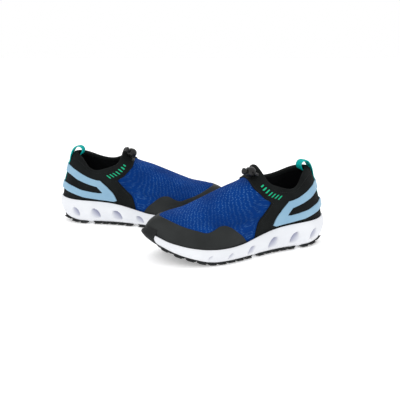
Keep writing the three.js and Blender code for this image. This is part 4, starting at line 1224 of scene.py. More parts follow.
@dataclass
class Midsole(Shoe):
    """The cupped foam midsole with its scoops."""

    columns: int = 900
    wall_rows: int = 46
    level: float = 0.47
    scoops: tuple[Scoop, ...] = (
        Scoop(31, 17, 30), Scoop(63, 19, 36), Scoop(96, 20, 42), Scoop(131, 15.5, 42),
        Scoop(163, 11, 44), Scoop(190, 8.5, 44))
    wall: tuple[tuple[float, float], ...] = (
        (8, 0), (3.6, 0.12), (0.8, 0.35), (0, 0.56), (0.9, 0.82), (2.0, 0.95), (3, 1))

    def wall_at(self, u: np.ndarray, row: np.ndarray, cut: float | np.ndarray = 0.0) -> np.ndarray:
        """Finds points on the outer wall.

        Args:
            u: Stations round the sole.
            row: Places up the wall, from 0 at its foot to 1 at its lip.
            cut: How much further in the points are.

        Returns:
            A point for each pair.
        """
        inset, share = np.moveaxis(along_line(self.wall, row), -1, 0)
        core = LAST.outline(u, inset)
        spot = LAST.outline(u, inset + cut)
        low = profile_height(TREAD_PROFILE, core[..., 0]) + FOAM_RISE
        high = profile_height(LIP_PROFILE, core[..., 0])
        z = low + (high - low) * share
        return np.concatenate([spot, z[..., None]], -1)

    def hollow(self, base: np.ndarray, u: np.ndarray) -> np.ndarray:
        """Measures how deep the scoops cut into the wall.

        Args:
            base: The wall's points before it is cut.
            u: Their stations round the sole.

        Returns:
            A depth in millimetres for each point.
        """
        cut = np.zeros(base.shape[:2])
        run = np.zeros(base.shape[:2])
        step = np.linalg.norm(np.diff(base[..., :2], axis=0), axis=-1)
        run[1:] = np.cumsum(step, 0)
        for lateral in (True, False):
            near = (u < HEEL) == lateral
            for scoop in self.scoops:
                at = LAST.edge_station(np.array([scoop.station]), 0.0, lateral)
                centre = self.wall_at(at, np.array([0.5]))[0]
                column = int(np.argmin(np.abs(u[:, 0] - at[0])))
                toward_toe = (run[column] - run) * (1 if lateral else -1)
                x = scoop.station
                low = profile_height(TREAD_PROFILE, np.array([x]))[0] + FOAM_RISE
                high = profile_height(LIP_PROFILE, np.array([x]))[0]
                centre[2] = low + (high - low) * self.level
                depth = scoop.depth_at(toward_toe, base[..., 2] - centre[2])
                cut = np.maximum(cut, np.where(near, depth, 0))
        return cut

    def build(self) -> None:
        """Makes the midsole, closed under its foot and over its cup."""
        u = np.repeat(np.arange(self.columns)[:, None] / self.columns, self.wall_rows, 1)
        row = np.repeat(np.linspace(0, 1, self.wall_rows)[None], self.columns, 0)
        base = self.wall_at(u, row)
        cut = self.hollow(base, u)
        walls = self.wall_at(u, row, cut)
        ring_u = u[:, 0]
        cups = []
        for inset, profile, drop in (
                (LIP_WALL - 0.75, LIP_PROFILE, 0.1), (LIP_WALL - 0.5, LIP_PROFILE, 1.0),
                (LIP_WALL + CUP_DRAFT - 0.6, BOARD_PROFILE, 0.6)):
            plan = LAST.outline(ring_u, np.full(self.columns, inset))
            z = profile_height(profile, plan[:, 0]) - drop
            cups.append(np.column_stack([plan, z])[:, None])
        grid = np.concatenate([walls, *cups], 1)
        rows = grid.shape[1]
        faces = []
        for i in range(self.columns):
            n = (i + 1) % self.columns
            for j in range(rows - 1):
                faces.append([i * rows + j, n * rows + j, n * rows + j + 1, i * rows + j + 1])
        for i in range(self.columns // 2):
            a, b = i, (-i) % self.columns
            c, d = i + 1, (-i - 1) % self.columns
            bottom = [a * rows, b * rows, d * rows, c * rows]
            top = [k * rows + rows - 1 for k in (a, c, d, b)]
            faces += [list(dict.fromkeys(bottom)), list(dict.fromkeys(top))]
        piece = new_mesh(self.name("foam_midsole"), self.place, grid.reshape(-1, 3), faces)
        # The scoops' depth, kept as an attribute for the foam's painted shade in them.
        depth = np.zeros((self.columns, rows))
        depth[:, :self.wall_rows] = cut / SCOOP_DEEPEST
        shade = piece.data.attributes.new(PAINTED_SCOOP_SHADE, "FLOAT", "POINT")
        shade.data.foreach_set("value", depth.astype(np.float32).ravel())
        self.keep(piece, self.finish.foam, "midsole_foam", ["midsole"])


@dataclass
class Outsole(Shoe):
    """The rubber tread pads with their lugs, and the toe bumper."""

    pads: tuple[tuple[str, float, float, int], ...] = (
        ("outsole_forefoot", 127, 243, 9), ("outsole_waist", 57, 119, 5),
        ("outsole_heel", 7, 48, 3))
    lug: Repeater | None = None

    def plan(self, x: np.ndarray, share: np.ndarray, inset: float) -> np.ndarray:
        """Returns points on the ground side, from the medial edge at share 0 to the lateral."""
        flat = x[:, 0]
        edges = [
            LAST.outline(LAST.edge_station(flat, inset, side), np.full(len(flat), inset))[:, 1]
            for side in (False, True)]
        y = edges[0][:, None] + (edges[1] - edges[0])[:, None] * share
        return np.stack([x, y, profile_height(TREAD_PROFILE, x)], -1)

    def build_pad(self, node: str, start: float, end: float, rows: int) -> None:
        """Makes one pad with a raised, notched rim, and the lugs under it.

        Args:
            node: The frame node that the pad stands for, without its side.
            start: Where the pad begins, in millimetres from the heel.
            end: Where it ends.
            rows: How many rows of lugs it has.
        """
        x = np.repeat(np.linspace(start, end, 180)[:, None], 28, 1)
        share = np.repeat(eased(20, 0.03)[None], 180, 0)
        base = self.plan(x, share, PAD_INSET)
        edge = np.minimum(share, 1 - share) * 70
        rim = np.minimum(edge, np.minimum(x - start, end - x))
        bulge = np.sqrt(np.clip(1 - (1 - np.clip(rim / PAD_ROUNDING, 0, 1)) ** 2, 0, 1))
        up = np.array([0, 0, 1.0])
        top = base + up * (LUG_HEIGHT + RUBBER_WALL + 1.5 * smooth_step(3.6, 0.0, edge))[..., None]
        place_in_row = (x - start) / (end - start) * rows % 1
        notch = np.exp(-((np.minimum(place_in_row, 1 - place_in_row) / 0.14) ** 4))
        notch = 2.1 * notch * smooth_step(4.2, 1.5, edge)
        under = base + up * (LUG_HEIGHT + 0.9 * (1 - bulge) + notch)[..., None]
        pad = shell(self.name(node.replace("outsole", "pad")), self.place, under, top, False)
        self.keep(pad, self.finish.rubber, "tread_rubber", [node])
        pitch = (end - start) / rows
        spots, ways, ups = [], [], []
        for row in range(rows):
            middle = start + pitch * (row + 0.5)
            ends = self.plan(np.full((1, 2), middle), np.array([[0.0, 1.0]]), LUG_ROW_INSET)
            count = max(3, int(round(np.ptp(ends[0, :, 1]) / LUG_SPACING)))
            shares = (np.arange(count) + 0.5) / count
            line = self.plan(np.full((1, count), middle), shares[None], LUG_ROW_INSET)[0]
            ahead = self.plan(np.full((1, count), middle + 1), shares[None], LUG_ROW_INSET)[0]
            way = unit(ahead - line)
            down = unit(np.cross(way, [0, 1.0, 0]) * -1)
            down[:, 2] = -np.abs(down[:, 2])
            spots.append(line + [0, 0, LUG_HEIGHT + 0.15])
            ways.append(way)
            ups.append(down)
        lugs = self.lug.on(
            self.name(node.replace("outsole", "lugs")), self.place, np.vstack(spots),
            np.vstack(ways), np.vstack(ups), 0.02, 5)
        self.keep(lugs, self.finish.rubber, "tread_rubber")

    def build_bumper(self, midsole: Midsole) -> None:
        """Makes the bumper that wraps up over the toe, with ribs across it.

        Args:
            midsole: The midsole whose wall it lies on.
        """
        columns, rows = 96, 52
        u = np.linspace(-0.08, 0.068, columns)
        anchors = []
        for row in (0.055, 0.16, 0.33, 0.5, 0.66, 0.83):
            spot = midsole.wall_at(u, np.full(columns, row))
            step = 1e-3
            ahead = midsole.wall_at(u + step, np.full(columns, row))
            above = midsole.wall_at(u, np.full(columns, min(row + 0.01, 1)))
            anchors.append((spot, unit(np.cross(ahead - spot, above - spot))))
        for v in (0.02, 0.052):
            level = np.full(columns, v)
            anchors.append((LAST.point(u, level), LAST.normal(u, level)))
        t = eased(rows - 8, 0.02)

        def between(values: Sequence[np.ndarray]) -> np.ndarray:
            """Returns the anchors' values run smoothly up the bumper, in columns and rows."""
            flat = np.stack(values).reshape(len(values), -1)
            return np.moveaxis(along_line(flat, t).reshape(rows, columns, 3), 0, 1)

        grid = between([spot for spot, _ in anchors])
        out = unit(between([way for _, way in anchors]))
        reach = np.minimum(t, 1 - t)[None] * 42
        ends = np.minimum(np.arange(columns), np.arange(columns)[::-1])[:, None] * 0.85
        border = np.minimum(reach, ends)
        bulge = np.sqrt(np.clip(1 - (1 - np.clip(border / BUMPER_ROUNDING, 0, 1)) ** 2, 0, 1))
        rib = BUMPER_RIB_HEIGHT * np.cos(2 * np.pi * t * BUMPER_RIBS)[None]
        rib = rib * smooth_step(1.2, 3.0, border)
        rib = rib * (1 - smooth_step(0.7, 0.9, t))[None]
        swell = (1.1 - 0.7 * smooth_step(0.5, 0.95, t))[None]
        rest = 0.1 + 2.0 * smooth_step(0.6, 1.0, t)[None] * toe_share(u)[:, None]
        inner = grid + out * (rest - 0.1)[..., None]
        outer = grid + out * (rest + swell * bulge + rib)[..., None]
        piece = shell(self.name("toe_guard"), self.place, inner, outer, False)
        self.keep(piece, self.finish.rubber, "tread_rubber", ["toe_bumper"])


@dataclass
class Upper(Shoe):
    """The knit vamp, toe cap, collar saddle, heel overlay, pull tape, print and stitching."""

    stitch: Repeater | None = None
    tape_width: float = 12.0
    tape_wall: float = 1.1
    roll: float = 3.3

    def build_vamp(self) -> None:
        """Makes the knit vamp."""
        patch = Patch(
            front_line(VAMP_BOTTOM), front_line(VAMP_TOP), False, -3.2, -1.5, 240, 90, Edge.NONE)
        piece = patch.build(self.name("knit_vamp"), self.place)
        self.keep(piece, self.finish.knit, "vamp_knit", ["vamp"])

    def build_cap(self) -> None:
        """Makes the fused toe cap, thinner at its upper edge."""
        def sink(u: np.ndarray, v: np.ndarray) -> np.ndarray:
            """Swells the film at the tip and lets it lie lower away from the midsole."""
            box = TOE_SWELL * np.exp(-(((v - 0.07) / 0.07) ** 2)) * toe_share(u)
            return box - 0.45 * smooth_step(0.02, 0.1, v)
        patch = Patch(
            front_line(CAP_BOTTOM), front_line(CAP_TOP), False, -1.35, -0.25, 260, 40,
            Edge.UPPER, 0.9, sink)
        piece = patch.build(self.name("film_toe_cap"), self.place)
        self.keep(piece, self.finish.cap, "cap_film", ["toe_cap"])

    def build_saddle(self) -> None:
        """Makes the collar saddle, rolled over at the topline into the shoe."""
        half_edge = [*SADDLE_EDGE, *((u, SEAT_LEVEL) for u in REAR)]
        half_top = [*SADDLE_SHOULDER, *((u, 1.0) for u in REAR)]
        columns = 420
        s = np.arange(columns) / columns
        low = along_line(front_line(half_edge), s)
        high = along_line(front_line(half_top), s)
        t = np.concatenate([[0, 0.0015, 0.004, 0.008], np.linspace(0.013, 1, 70)])
        both = low[:, None] + (high - low)[:, None] * t[None, :, None]
        u, v = both[..., 0], both[..., 1]
        base = LAST.point(u, v)
        normal = LAST.normal(u, v)
        rise = np.concatenate(
            [np.zeros((columns, 1)), np.cumsum(np.linalg.norm(np.diff(base, axis=1), axis=-1), 1)], 1)
        bulge = np.sqrt(np.clip(1 - (1 - np.clip(rise / 1.3, 0, 1)) ** 2, 0.004, 1))
        tunnel = 0.5 * np.exp(-((v - CORD_LEVEL) / 0.024) ** 2) * smooth_step(2, 8, rise)
        seam = -0.3 * np.exp(-((v - 0.915) / 0.008) ** 2) * smooth_step(9, 14, rise[:, -1:])
        outer = base + normal * (-SADDLE_WALL * (1 - bulge) + tunnel + seam)[..., None]
        inner = base - normal * SADDLE_WALL
        top_u, top_v = u[:, -1], np.ones(columns)
        crown, side = base[:, -1], normal[:, -1]
        up = LAST.rise(top_u, top_v)
        turn = np.linspace(0, np.pi, 13)[1:]

        def bow(radius: float) -> np.ndarray:
            """Returns the rolled edge at a radius about its middle."""
            depth = -self.roll + radius * np.cos(turn)
            lift = 0.62 * radius * np.sin(turn)
            return (
                crown[:, None] + side[:, None] * depth[None, :, None]
                + up[:, None] * lift[None, :, None])
        levels = np.linspace(0.992, 0.93, 7)
        grid_u = np.repeat(top_u[:, None], 7, 1)
        grid_v = np.repeat(levels[None], columns, 0)
        facing = LAST.layer(grid_u, grid_v, np.full(grid_u.shape, -2 * self.roll))
        behind = LAST.layer(grid_u, grid_v, np.full(grid_u.shape, -2 * self.roll + 0.9))
        outer = np.concatenate([outer, bow(self.roll), facing], 1)
        inner = np.concatenate([inner, bow(self.roll - SADDLE_WALL), behind], 1)
        piece = shell(self.name("neoprene_saddle"), self.place, inner, outer, True)
        self.keep(piece, self.finish.neoprene, "saddle_neoprene", ["collar_saddle"])

    def heel_station(self, y: np.ndarray, v: np.ndarray) -> np.ndarray:
        """Finds u a distance y to the lateral side of the heel centre, at level v."""
        step = 0.01
        span = LAST.point(HEEL - step, v)[..., 1] - LAST.point(HEEL + step, v)[..., 1]
        return HEEL - y * 2 * step / span

    def build_overlay(self) -> None:
        """Makes the moulded heel overlay with its window."""
        def lift(u: np.ndarray, v: np.ndarray) -> np.ndarray:
            """Carries the overlay over the pull tape."""
            edge = HEEL - self.heel_station(np.array(self.tape_width / 2 + 1), np.array(0.7))
            ramp = np.clip((2.2 * edge - np.abs(u - HEEL)) / (1.2 * edge), 0, 1)
            return smooth_step(0, 1, ramp) * 1.3
        patch = Patch(
            ring_line(OVERLAY_OUTER), ring_line(OVERLAY_WINDOW), True, 0.05, 1.25, 520, 22,
            Edge.ALL, 1.1, lift, False)
        piece = patch.build(self.name("film_overlay"), self.place)
        self.keep(piece, self.finish.overlay, "overlay_film", ["heel_overlay"])

    def build_tape(self) -> None:
        """Makes the pull tape, up the heel, over the collar in a loop and down inside it."""
        y = np.linspace(1, -1, 9) * self.tape_width / 2
        start, top = 0.86, LAST.point(np.array(HEEL), np.array(1.0))
        rows, outs = [], []
        for v in np.linspace(0.2, start, 26):
            u = self.heel_station(y, np.array(v))
            rows.append(LAST.layer(u, np.full(9, v), np.full(9, 0.05)))
            outs.append(LAST.normal(u, np.full(9, v)))
        sag = rows[-1][:, 0] - rows[-1][4, 0]
        loop = [
            (-5.5, -4, 0.2), (-3, 1.5, 0.55), (0.5, 5.8, 1.05), (5.5, 7.8, 1.6), (10, 6, 2.3),
            (11.5, 1.5, 2.9), (9.5, -3, 3.3)]
        for dx, dz, lean in along_line(loop, np.linspace(0, 1, 31)):
            rows.append(np.stack([top[0] + dx + sag, y, np.full(9, top[2] + dz)], -1))
            outs.append(np.tile([-math.cos(lean), 0, math.sin(lean)], (9, 1)))
        for v in (0.96, 0.93, 0.9, 0.87, 0.84):
            u = self.heel_station(y, np.array(v))
            rows.append(LAST.layer(u, np.full(9, v), np.full(9, -2 * self.roll - 0.3)))
            outs.append(-LAST.normal(u, np.full(9, v)))
        inner = np.moveaxis(np.array(rows), 0, 1)
        outer = inner + np.moveaxis(np.array(outs), 0, 1) * self.tape_wall
        piece = shell(self.name("webbing_pull_tape"), self.place, inner, outer, False)
        self.keep(piece, self.finish.tape, "teal_webbing", ["pull_tape"])

    def build_mark(self, bars: int = 7) -> None:
        """Makes the short slanted bars printed along the collar's lateral side.

        Args:
            bars: How many bars there are.
        """
        line = along_line(
            [(0.2, 0.94), (0.255, 0.9), (0.3, 0.83), (0.332, 0.78)], np.linspace(0, 1, 400), False)
        path = LAST.point(line[:, 0], line[:, 1])
        run = np.concatenate([[0], np.cumsum(np.linalg.norm(np.diff(path, axis=0), axis=1))])
        meshes: list[bpy.types.Object] = []
        for i in range(bars):
            u, v = line[int(np.searchsorted(run, run[-1] * (i + 0.5) / bars))]
            here = LAST.point(np.array(u), np.array(v))
            wide = 1.1 / np.linalg.norm(LAST.point(np.array(u + 1e-3), np.array(v)) - here) * 1e-3
            tall = 3.3 / np.linalg.norm(LAST.point(np.array(u), np.array(v + 1e-3)) - here) * 1e-3
            bottom = [(u - 1.6 * wide, v - tall), (u + 0.4 * wide, v - tall)]
            top = [(u - 0.4 * wide, v + tall), (u + 1.6 * wide, v + tall)]
            patch = Patch(bottom, top, False, 0.03, 0.34, 6, 8, Edge.ALL, 0.4)
            meshes.append(patch.build(self.name("mark_bar"), self.place))
        piece = joined(self.name("collar_bars"), meshes)
        self.keep(piece, self.finish.print, "teal_print", ["collar_mark"])

    def build_stitching(self) -> None:
        """Sews the collar tunnel, the saddle's front edge and the pull tape."""
        tunnel = [(u, 0.945 if u < 0.2 or u > 0.8 else 0.92) for u in np.linspace(0.02, 0.98, 60)]
        front = [(u, v + 0.012 if u < 0.27 else v) for u, v in SADDLE_EDGE[:-1]]
        front = [(u + (0.006 if v < 0.8 else 0), v) for u, v in front]
        runs = [(tunnel, 0.12), (front_line(front), 0.02)]
        box = [(-4, 0.36), (4, 0.36), (4, 0.5), (-4, 0.5), (-4, 0.36), (4, 0.5)]
        spots, ways, ups = [], [], []
        for line, depth in runs:
            fine = along_line(line, np.linspace(0, 1, 3000), False)
            self._sew(fine[:, 0], fine[:, 1], depth, 3.0, spots, ways, ups)
        fine = along_line(box, np.linspace(0, 1, 600), False)
        u = self.heel_station(fine[:, 0], fine[:, 1])
        self._sew(u, fine[:, 1], 1.2, 2.2, spots, ways, ups)
        piece = self.stitch.on(
            self.name("stitching"), self.place, np.vstack(spots), np.vstack(ways), np.vstack(ups),
            0.06, 3)
        self.keep(piece, self.finish.thread, "cord_black")

    @staticmethod
    def _sew(
        u: np.ndarray, v: np.ndarray, depth: float, pitch: float, spots: list, ways: list, ups: list,
    ) -> None:
        """Adds stitches at an even pitch along a fine line on the upper.

        Args:
            u: The line's stations.
            v: The line's levels.
            depth: How far out of the surface the stitches lie.
            pitch: Distance between stitches, in millimetres.
            spots: Where their places are added.
            ways: Where their directions are added.
            ups: Where their facings are added.
        """
        path = LAST.layer(u, v, np.full(len(u), depth))
        run = np.concatenate([[0], np.cumsum(np.linalg.norm(np.diff(path, axis=0), axis=1))])
        at = np.arange(pitch / 2, run[-1], pitch)
        index = np.clip(np.searchsorted(run, at), 1, len(u) - 2)
        spots.append(path[index])
        ways.append(path[index + 1] - path[index - 1])
        ups.append(LAST.normal(u[index], v[index]))


@dataclass
class Inside(Shoe):
    """The lining sock, the insole and the collar's padding; the hidden board and counter keep their
    frame meshes.
    """

    def build_lining(self) -> None:
        """Makes the lining sock."""
        u = np.arange(220) / 220
        bottom = [(x, SEAT_LEVEL) for x in [*u, 1.0]]
        top = [(x, 0.965) for x in [*u, 1.0]]
        patch = Patch(bottom, top, True, LINING_OUTER, LINING_INNER, 220, 46, Edge.NONE)
        inner, outer = patch.faces()
        piece = shell(self.name("jersey_lining"), self.place, inner, outer, True)
        self.keep(piece, self.finish.lining, "lining_fabric", ["lining_sock"])

    def build_insole(self) -> None:
        """Makes the padded insole, dished at the heel and raised under the arch."""
        inset = LIP_WALL + CUP_DRAFT - LINING_INNER + 0.6
        x = np.linspace(11, 243, 120)
        share = np.linspace(0, 1, 33)
        edges = [
            LAST.outline(LAST.edge_station(x, inset, side), np.full(len(x), inset))[:, 1]
            for side in (False, True)]
        rounding = np.sqrt(np.clip(1 - ((x - 127) / 116.2) ** 8, 0.0025, 1))
        middle = (edges[0] + edges[1]) / 2
        half = (edges[1] - edges[0]) / 2 * rounding
        y = middle[:, None] + half[:, None] * (2 * share - 1)[None]
        grid_x = np.repeat(x[:, None], 33, 1)
        floor = profile_height(BOARD_PROFILE, grid_x) + BOARD_WALL + SOLE_GAP
        across = (2 * share - 1)[None]
        dish = 1.1 * (1 - across**2) * smooth_step(75, 20, grid_x)
        arch = 1.6 * np.clip(-across, 0, 1) ** 2 * np.exp(-((grid_x - 105) / 30) ** 2)
        rim = np.sqrt(np.clip(1 - np.abs(across) ** 14, 0, 1))
        height = (INSOLE_WALL + 0.4 - dish + arch) * np.maximum(rim, 0.12)
        low = np.stack([grid_x, y, floor], -1)
        high = np.stack([grid_x, y, floor + height], -1)
        piece = shell(self.name("padded_insole"), self.place, low, high, False)
        self.keep(piece, self.finish.lining, "lining_fabric", ["insole"])

    def build_padding(self) -> None:
        """Makes the collar's padding, fullest halfway up."""
        patch = Patch(
            ring_line(FOAM_BOTTOM), ring_line(FOAM_TOP), False, LINING_OUTER + 0.9,
            -SADDLE_WALL - 0.5, 150, 20, Edge.ALL, 3.0)
        piece = patch.build(self.name("collar_padding"), self.place)
        self.keep(piece, self.finish.padding, "collar_padding", ["collar_foam"])


class CordLock(Shoe):
    """The drawcord with its end, and the lock's barrel, button and spring."""

    def __init__(self, place: Placing, finish: Finishes) -> None:
        """Finds where the lock sits and which ways its button and cord point."""
        super().__init__(place, finish)
        stand_off = LOCK_DIAMETER / 2 + LAYER_GAP
        self.centre = LAST.layer(np.array(0.07), np.array(0.93), np.array(stand_off))
        left = place.side is Side.LEFT
        self.axis = unit(np.array([0.98, 0, 0.17] if left else [-0.66, 0.5, 0.56]))
        self.cord_way = unit(np.array([0, 1.0, 0] if left else [0.237, 0.82, -0.453]))

    def cord_path(self) -> np.ndarray:
        """Returns the cord's middle line, round the collar, out at the front and through the lock."""
        depth = (-SADDLE_WALL + LINING_OUTER) / 2
        u = np.linspace(0.05, 0.955, 45)
        points = list(LAST.layer(u, np.full(45, CORD_LEVEL), np.full(45, depth)))
        for station, out in ((0.974, -0.8), (0.986, 2.0)):
            points.append(LAST.layer(np.array(station), np.array(CORD_LEVEL), np.array(out)))
        half = LOCK_DIAMETER / 2
        for reach in (-half - 1, 0, half, half + LOCK_TRAVEL, half + LOCK_TRAVEL + CORD_TAIL):
            points.append(self.centre + self.cord_way * reach)
        return along_line(points, np.linspace(0, 1, 640))

    def turned(self, name: str, profile: Line, axis: np.ndarray, sides: int = 40) -> bpy.types.Object:
        """Turns a piece from (radius, height) points along an axis through the lock's middle.

        Args:
            name: The piece's name.
            profile: Its outline from one end of the axis to the other.
            axis: The local direction of the axis.
            sides: How many sides it has.

        Returns:
            The closed object.
        """
        radius, height = np.array(profile, float).T
        side = unit(np.cross(axis, [0.3, 0.2, 0.9]))
        other = np.cross(axis, side)
        angle = 2 * np.pi * np.arange(sides) / sides
        ring = np.cos(angle)[:, None] * side + np.sin(angle)[:, None] * other
        grid = (
            self.centre + axis * height[:, None, None]
            + ring[None] * np.maximum(radius, 1e-3)[:, None, None])
        faces = []
        rows = len(profile)
        for j in range(rows - 1):
            for k in range(sides):
                n = (k + 1) % sides
                faces.append([j * sides + k, j * sides + n, (j + 1) * sides + n, (j + 1) * sides + k])
        faces += [list(range(sides))[::-1], [(rows - 1) * sides + k for k in range(sides)]]
        return new_mesh(self.name(name), self.place, grid.reshape(-1, 3), faces)

    def bored(self, piece: bpy.types.Object, reach: float) -> bpy.types.Object:
        """Cuts the cord's way through a piece.

        Args:
            piece: The piece to cut.
            reach: How far the way is drawn out along the axis, in millimetres.

        Returns:
            The same piece, cut.
        """
        across = np.cross(self.axis, self.cord_way)
        radius = CORD_DIAMETER / 2 + 0.5
        angle = np.linspace(-np.pi, 0, 13)
        low = [(radius * math.cos(a), radius * math.sin(a)) for a in angle]
        high = [(-x, reach - y) for x, y in low]
        plan = low + high
        count = len(plan)
        rings = [
            [self.centre + across * x + self.axis * y + self.cord_way * end for x, y in plan]
            for end in (-LOCK_DIAMETER, LOCK_DIAMETER)]
        faces = [[k, (k + 1) % count, count + (k + 1) % count, count + k] for k in range(count)]
        faces += [list(range(count))[::-1], [count + k for k in range(count)]]
        cutter = new_mesh("cutter", self.place, np.array(rings).reshape(-1, 3), faces)
        for item in (cutter, piece):
            mesh = bmesh.new()
            mesh.from_mesh(item.data)
            bmesh.ops.recalc_face_normals(mesh, faces=mesh.faces)
            mesh.to_mesh(item.data)
            mesh.free()
        cut = piece.modifiers.new("Bore", "BOOLEAN")
        cut.operation, cut.solver, cut.object = "DIFFERENCE", "EXACT", cutter
        graph = bpy.context.evaluated_depsgraph_get()
        plain = bpy.data.meshes.new_from_object(piece.evaluated_get(graph), depsgraph=graph)
        piece.modifiers.clear()
        piece.data = plain
        bpy.data.objects.remove(cutter)
        piece.data.polygons.foreach_set("use_smooth", np.ones(len(plain.polygons), bool))
        piece.data.set_sharp_from_angle(angle=math.radians(38))
        return piece

    def build(self) -> None:
        """Makes the cord, its end, the barrel and the button, and dresses the spring."""
        half, mouth = LOCK_DIAMETER / 2, LOCK_LENGTH / 2
        path = self.cord_path()
        cord = tube_mesh(
            self.name("braided_drawcord"), self.place, path,
            np.full(len(path), CORD_DIAMETER / 2), 14)
        self.keep(cord, self.finish.cord, "cord_black", ["drawcord"])
        start = half + LOCK_TRAVEL + CORD_TAIL + SOLE_GAP
        end = self.turned("moulded_cord_end", [
            (0, start), (1.3, start), (1.55, start + 0.25), (1.85, start + 1), (1.8, start + 4.4),
            (1.5, start + 5.5), (0.9, start + 5.95), (0, start + 6)], self.cord_way, 24)
        self.keep(end, self.finish.plastic, "lock_plastic", ["cord_end"])
        ball = [
            (half * math.cos(a), half * math.sin(a)) for a in np.radians(np.linspace(-90, 24, 24))]
        groove = [(half * 0.86, mouth - 2.2), (half * 0.845, mouth - 1.9), (half * 0.84, mouth - 1.2)]
        socket = 2.95
        floor = -half + 1.5
        barrel = self.turned("lock_body", [
            (0, -half), *ball[1:], *groove, (half * 0.76, mouth - 0.35), (half * 0.68, mouth),
            (socket + 0.3, mouth), (socket, mouth - 0.3), (socket, floor), (0, floor)], self.axis)
        self.bored(barrel, 0.0)
        self.keep(barrel, self.finish.plastic, "lock_plastic", ["lock_barrel"], "cord_lock")
        stem, cap = 2.6, BUTTON_DIAMETER / 2
        under = mouth + BUTTON_TRAVEL + 0.35
        foot = floor + BUTTON_TRAVEL + 1.0
        button = self.turned("lock_plunger", [
            (0, foot), (stem - 0.3, foot), (stem, foot + 0.3), (stem, under), (cap * 0.86, under),
            (cap * 0.97, under + 0.25), (cap, under + 0.8), (cap, under + 2.4),
            (cap * 0.95, under + 2.9), (cap * 0.8, under + 3.5), (cap * 0.5, under + 3.85),
            (0, under + 4)], self.axis)
        self.bored(button, BUTTON_TRAVEL)
        self.keep(button, self.finish.plastic, "lock_plastic", ["lock_button"], "lock_button")
        self.build_spring(floor, foot)

    def build_spring(self, floor: float, stem_end: float, wire: float = 0.5) -> None:
        """Makes the coil spring.

        Args:
            floor: The socket's floor, along the axis from the lock's middle.
            stem_end: The end of the button's stem.
            wire: The wire's diameter.
        """
        radius = 2.6 - wire
        side = unit(np.cross(self.axis, self.cord_way))
        angle = np.linspace(0, 2 * np.pi * 3, 150)
        height = np.linspace(floor + 0.3 + wire / 2, stem_end - 0.3 - wire / 2, 150)
        path = (
            self.centre + self.axis * height[:, None]
            + side * radius * np.cos(angle)[:, None] + self.cord_way * radius * np.sin(angle)[:, None])
        spring = tube_mesh(
            self.name("coil_spring"), self.place, path, np.full(150, wire / 2), 10)
        self.keep(spring, self.finish.steel, "spring_steel", ["lock_spring"], "cord_lock")
        foot = self.place.world(self.centre + self.axis * floor)
        way = self.place.turned(self.axis)
        joint = self.name("lock_button_press")
        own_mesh(spring)


def joined(name: str, parts: Sequence[bpy.types.Object]) -> bpy.types.Object:
    """Joins mesh objects at the origin into one.

    Args:
        name: The new object's name.
        parts: The objects, which are removed.

    Returns:
        The joined object.
    """
    mesh = bmesh.new()
    for part in parts:
        mesh.from_mesh(part.data)
        bpy.data.objects.remove(part)
    data = bpy.data.meshes.new(name)
    mesh.to_mesh(data)
    mesh.free()
    made = bpy.data.objects.new(name, data)
    bpy.context.scene.collection.objects.link(made)
    return made


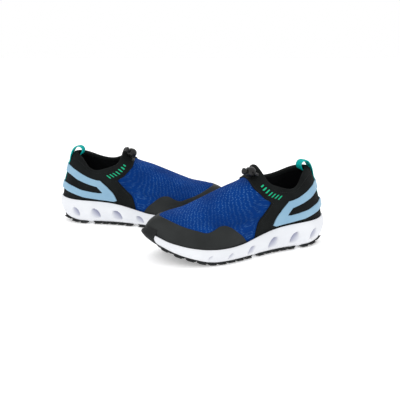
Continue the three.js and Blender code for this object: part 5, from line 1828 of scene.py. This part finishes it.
# ---- Studio -------------------------------------------------------------------------------------
@dataclass
class Studio:
    """The floor, the lights and the camera."""

    shift: tuple[float, float] = (22.284, 31.771)
    distance: float = 917.0
    tilt: float = 15.0
    lens: float = 56.6

    def build(self) -> None:
        """Sets up the studio."""
        scene = bpy.context.scene
        bpy.ops.mesh.primitive_plane_add(size=12)
        floor = bpy.context.object
        floor.name = "studio_floor"
        floor.location.z = -0.0003
        surface = Surface("floor_paper", 0.8)
        surface.colour(surface.blend(
            surface.span(surface.noise(3.0), 0.3, 0.7, 0, 1), linear(249, 249, 249),
            linear(252, 252, 252)))
        surface.shader.inputs["Emission Color"].default_value = (1, 1, 1, 1)
        surface.shader.inputs["Emission Strength"].default_value = 0.3
        floor.data.materials.append(surface.material)
        world = bpy.data.worlds.new("studio_air")
        world.use_nodes = True
        world.node_tree.nodes["Background"].inputs[0].default_value = (1, 1, 1, 1)
        world.node_tree.nodes["Background"].inputs[1].default_value = 1.0
        scene.world = world
        aim = Vector((self.shift[0] * MM, self.shift[1] * MM, 0.045))
        for name, spot, size, power in (
                ("key", (-0.9, -1.3, 1.7), 1.2, 6.0), ("fill", (1.5, -0.9, 1.1), 1.8, 1.0),
                ("back", (0.3, 1.7, 1.5), 1.6, 3.0)):
            lamp = bpy.data.lights.new(name, "AREA")
            lamp.shape, lamp.size, lamp.energy = "SQUARE", size, power
            made = bpy.data.objects.new(name, lamp)
            made.location = spot
            made.rotation_euler = (aim - Vector(spot)).to_track_quat("-Z", "Y").to_euler()
            scene.collection.objects.link(made)
        tilt = math.radians(self.tilt)
        back = Vector((0, -math.cos(tilt), math.sin(tilt)))
        data = bpy.data.cameras.new("camera")
        data.lens, data.sensor_width = self.lens, 36.0
        data.clip_start, data.clip_end = 0.01, 50.0
        camera = bpy.data.objects.new("camera", data)
        camera.location = aim + back * self.distance * MM
        camera.rotation_euler = (-back).to_track_quat("-Z", "Y").to_euler()
        scene.collection.objects.link(camera)
        scene.camera = camera
        scene.view_settings.view_transform = "Standard"


def build_shoe(place: Placing, finish: Finishes, stitch: Repeater, lug: Repeater) -> None:
    """Builds every piece of one shoe.

    Args:
        place: The shoe's placing.
        finish: The materials.
        stitch: The repeater for stitches.
        lug: The repeater for tread lugs.
    """
    midsole = Midsole(place, finish)
    midsole.build()
    outsole = Outsole(place, finish, lug=lug)
    for pad in outsole.pads:
        outsole.build_pad(*pad)
    outsole.build_bumper(midsole)
    upper = Upper(place, finish, stitch=stitch)
    upper.build_vamp()
    upper.build_cap()
    upper.build_saddle()
    upper.build_overlay()
    upper.build_tape()
    upper.build_mark()
    upper.build_stitching()
    inside = Inside(place, finish)
    inside.build_lining()
    inside.build_insole()
    inside.build_padding()
    CordLock(place, finish).build()


def dress_frame(nodes: dict[str, bpy.types.Object], finish: Finishes) -> None:
    """Gives the frame's own nodes that stay their materials.

    Args:
        nodes: The frame's nodes by name.
        finish: The materials.
    """
    kept = {"strobel_board": finish.board, "heel_counter": finish.board}
    for side in Side:
        for piece, material in kept.items():
            node = nodes[f"{side.value}_{piece}"]
            node.data.materials.clear()
            node.data.materials.append(material)
            LOG.info("%s keeps its frame mesh", node.name)


def main() -> None:
    """Builds the studio and both shoes over the frame."""
    logging.basicConfig(level=logging.INFO, format="%(name)s: %(message)s")
    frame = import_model()
    Studio().build()
    finish = Finishes()
    stitch = Repeater("stitch_row", stitch_shape(2.2, 0.55), finish.thread)
    lug = Repeater("tread_lugs", lug_shape(8.8, 9.6, LUG_HEIGHT + 0.1), finish.rubber)
    dress_frame(frame["nodes"], finish)
    for side in Side:
        build_shoe(Placing.of(side, frame["record"]), finish, stitch, lug)
    stitch.finish()
    lug.finish()


if __name__ == "__main__":
    main()
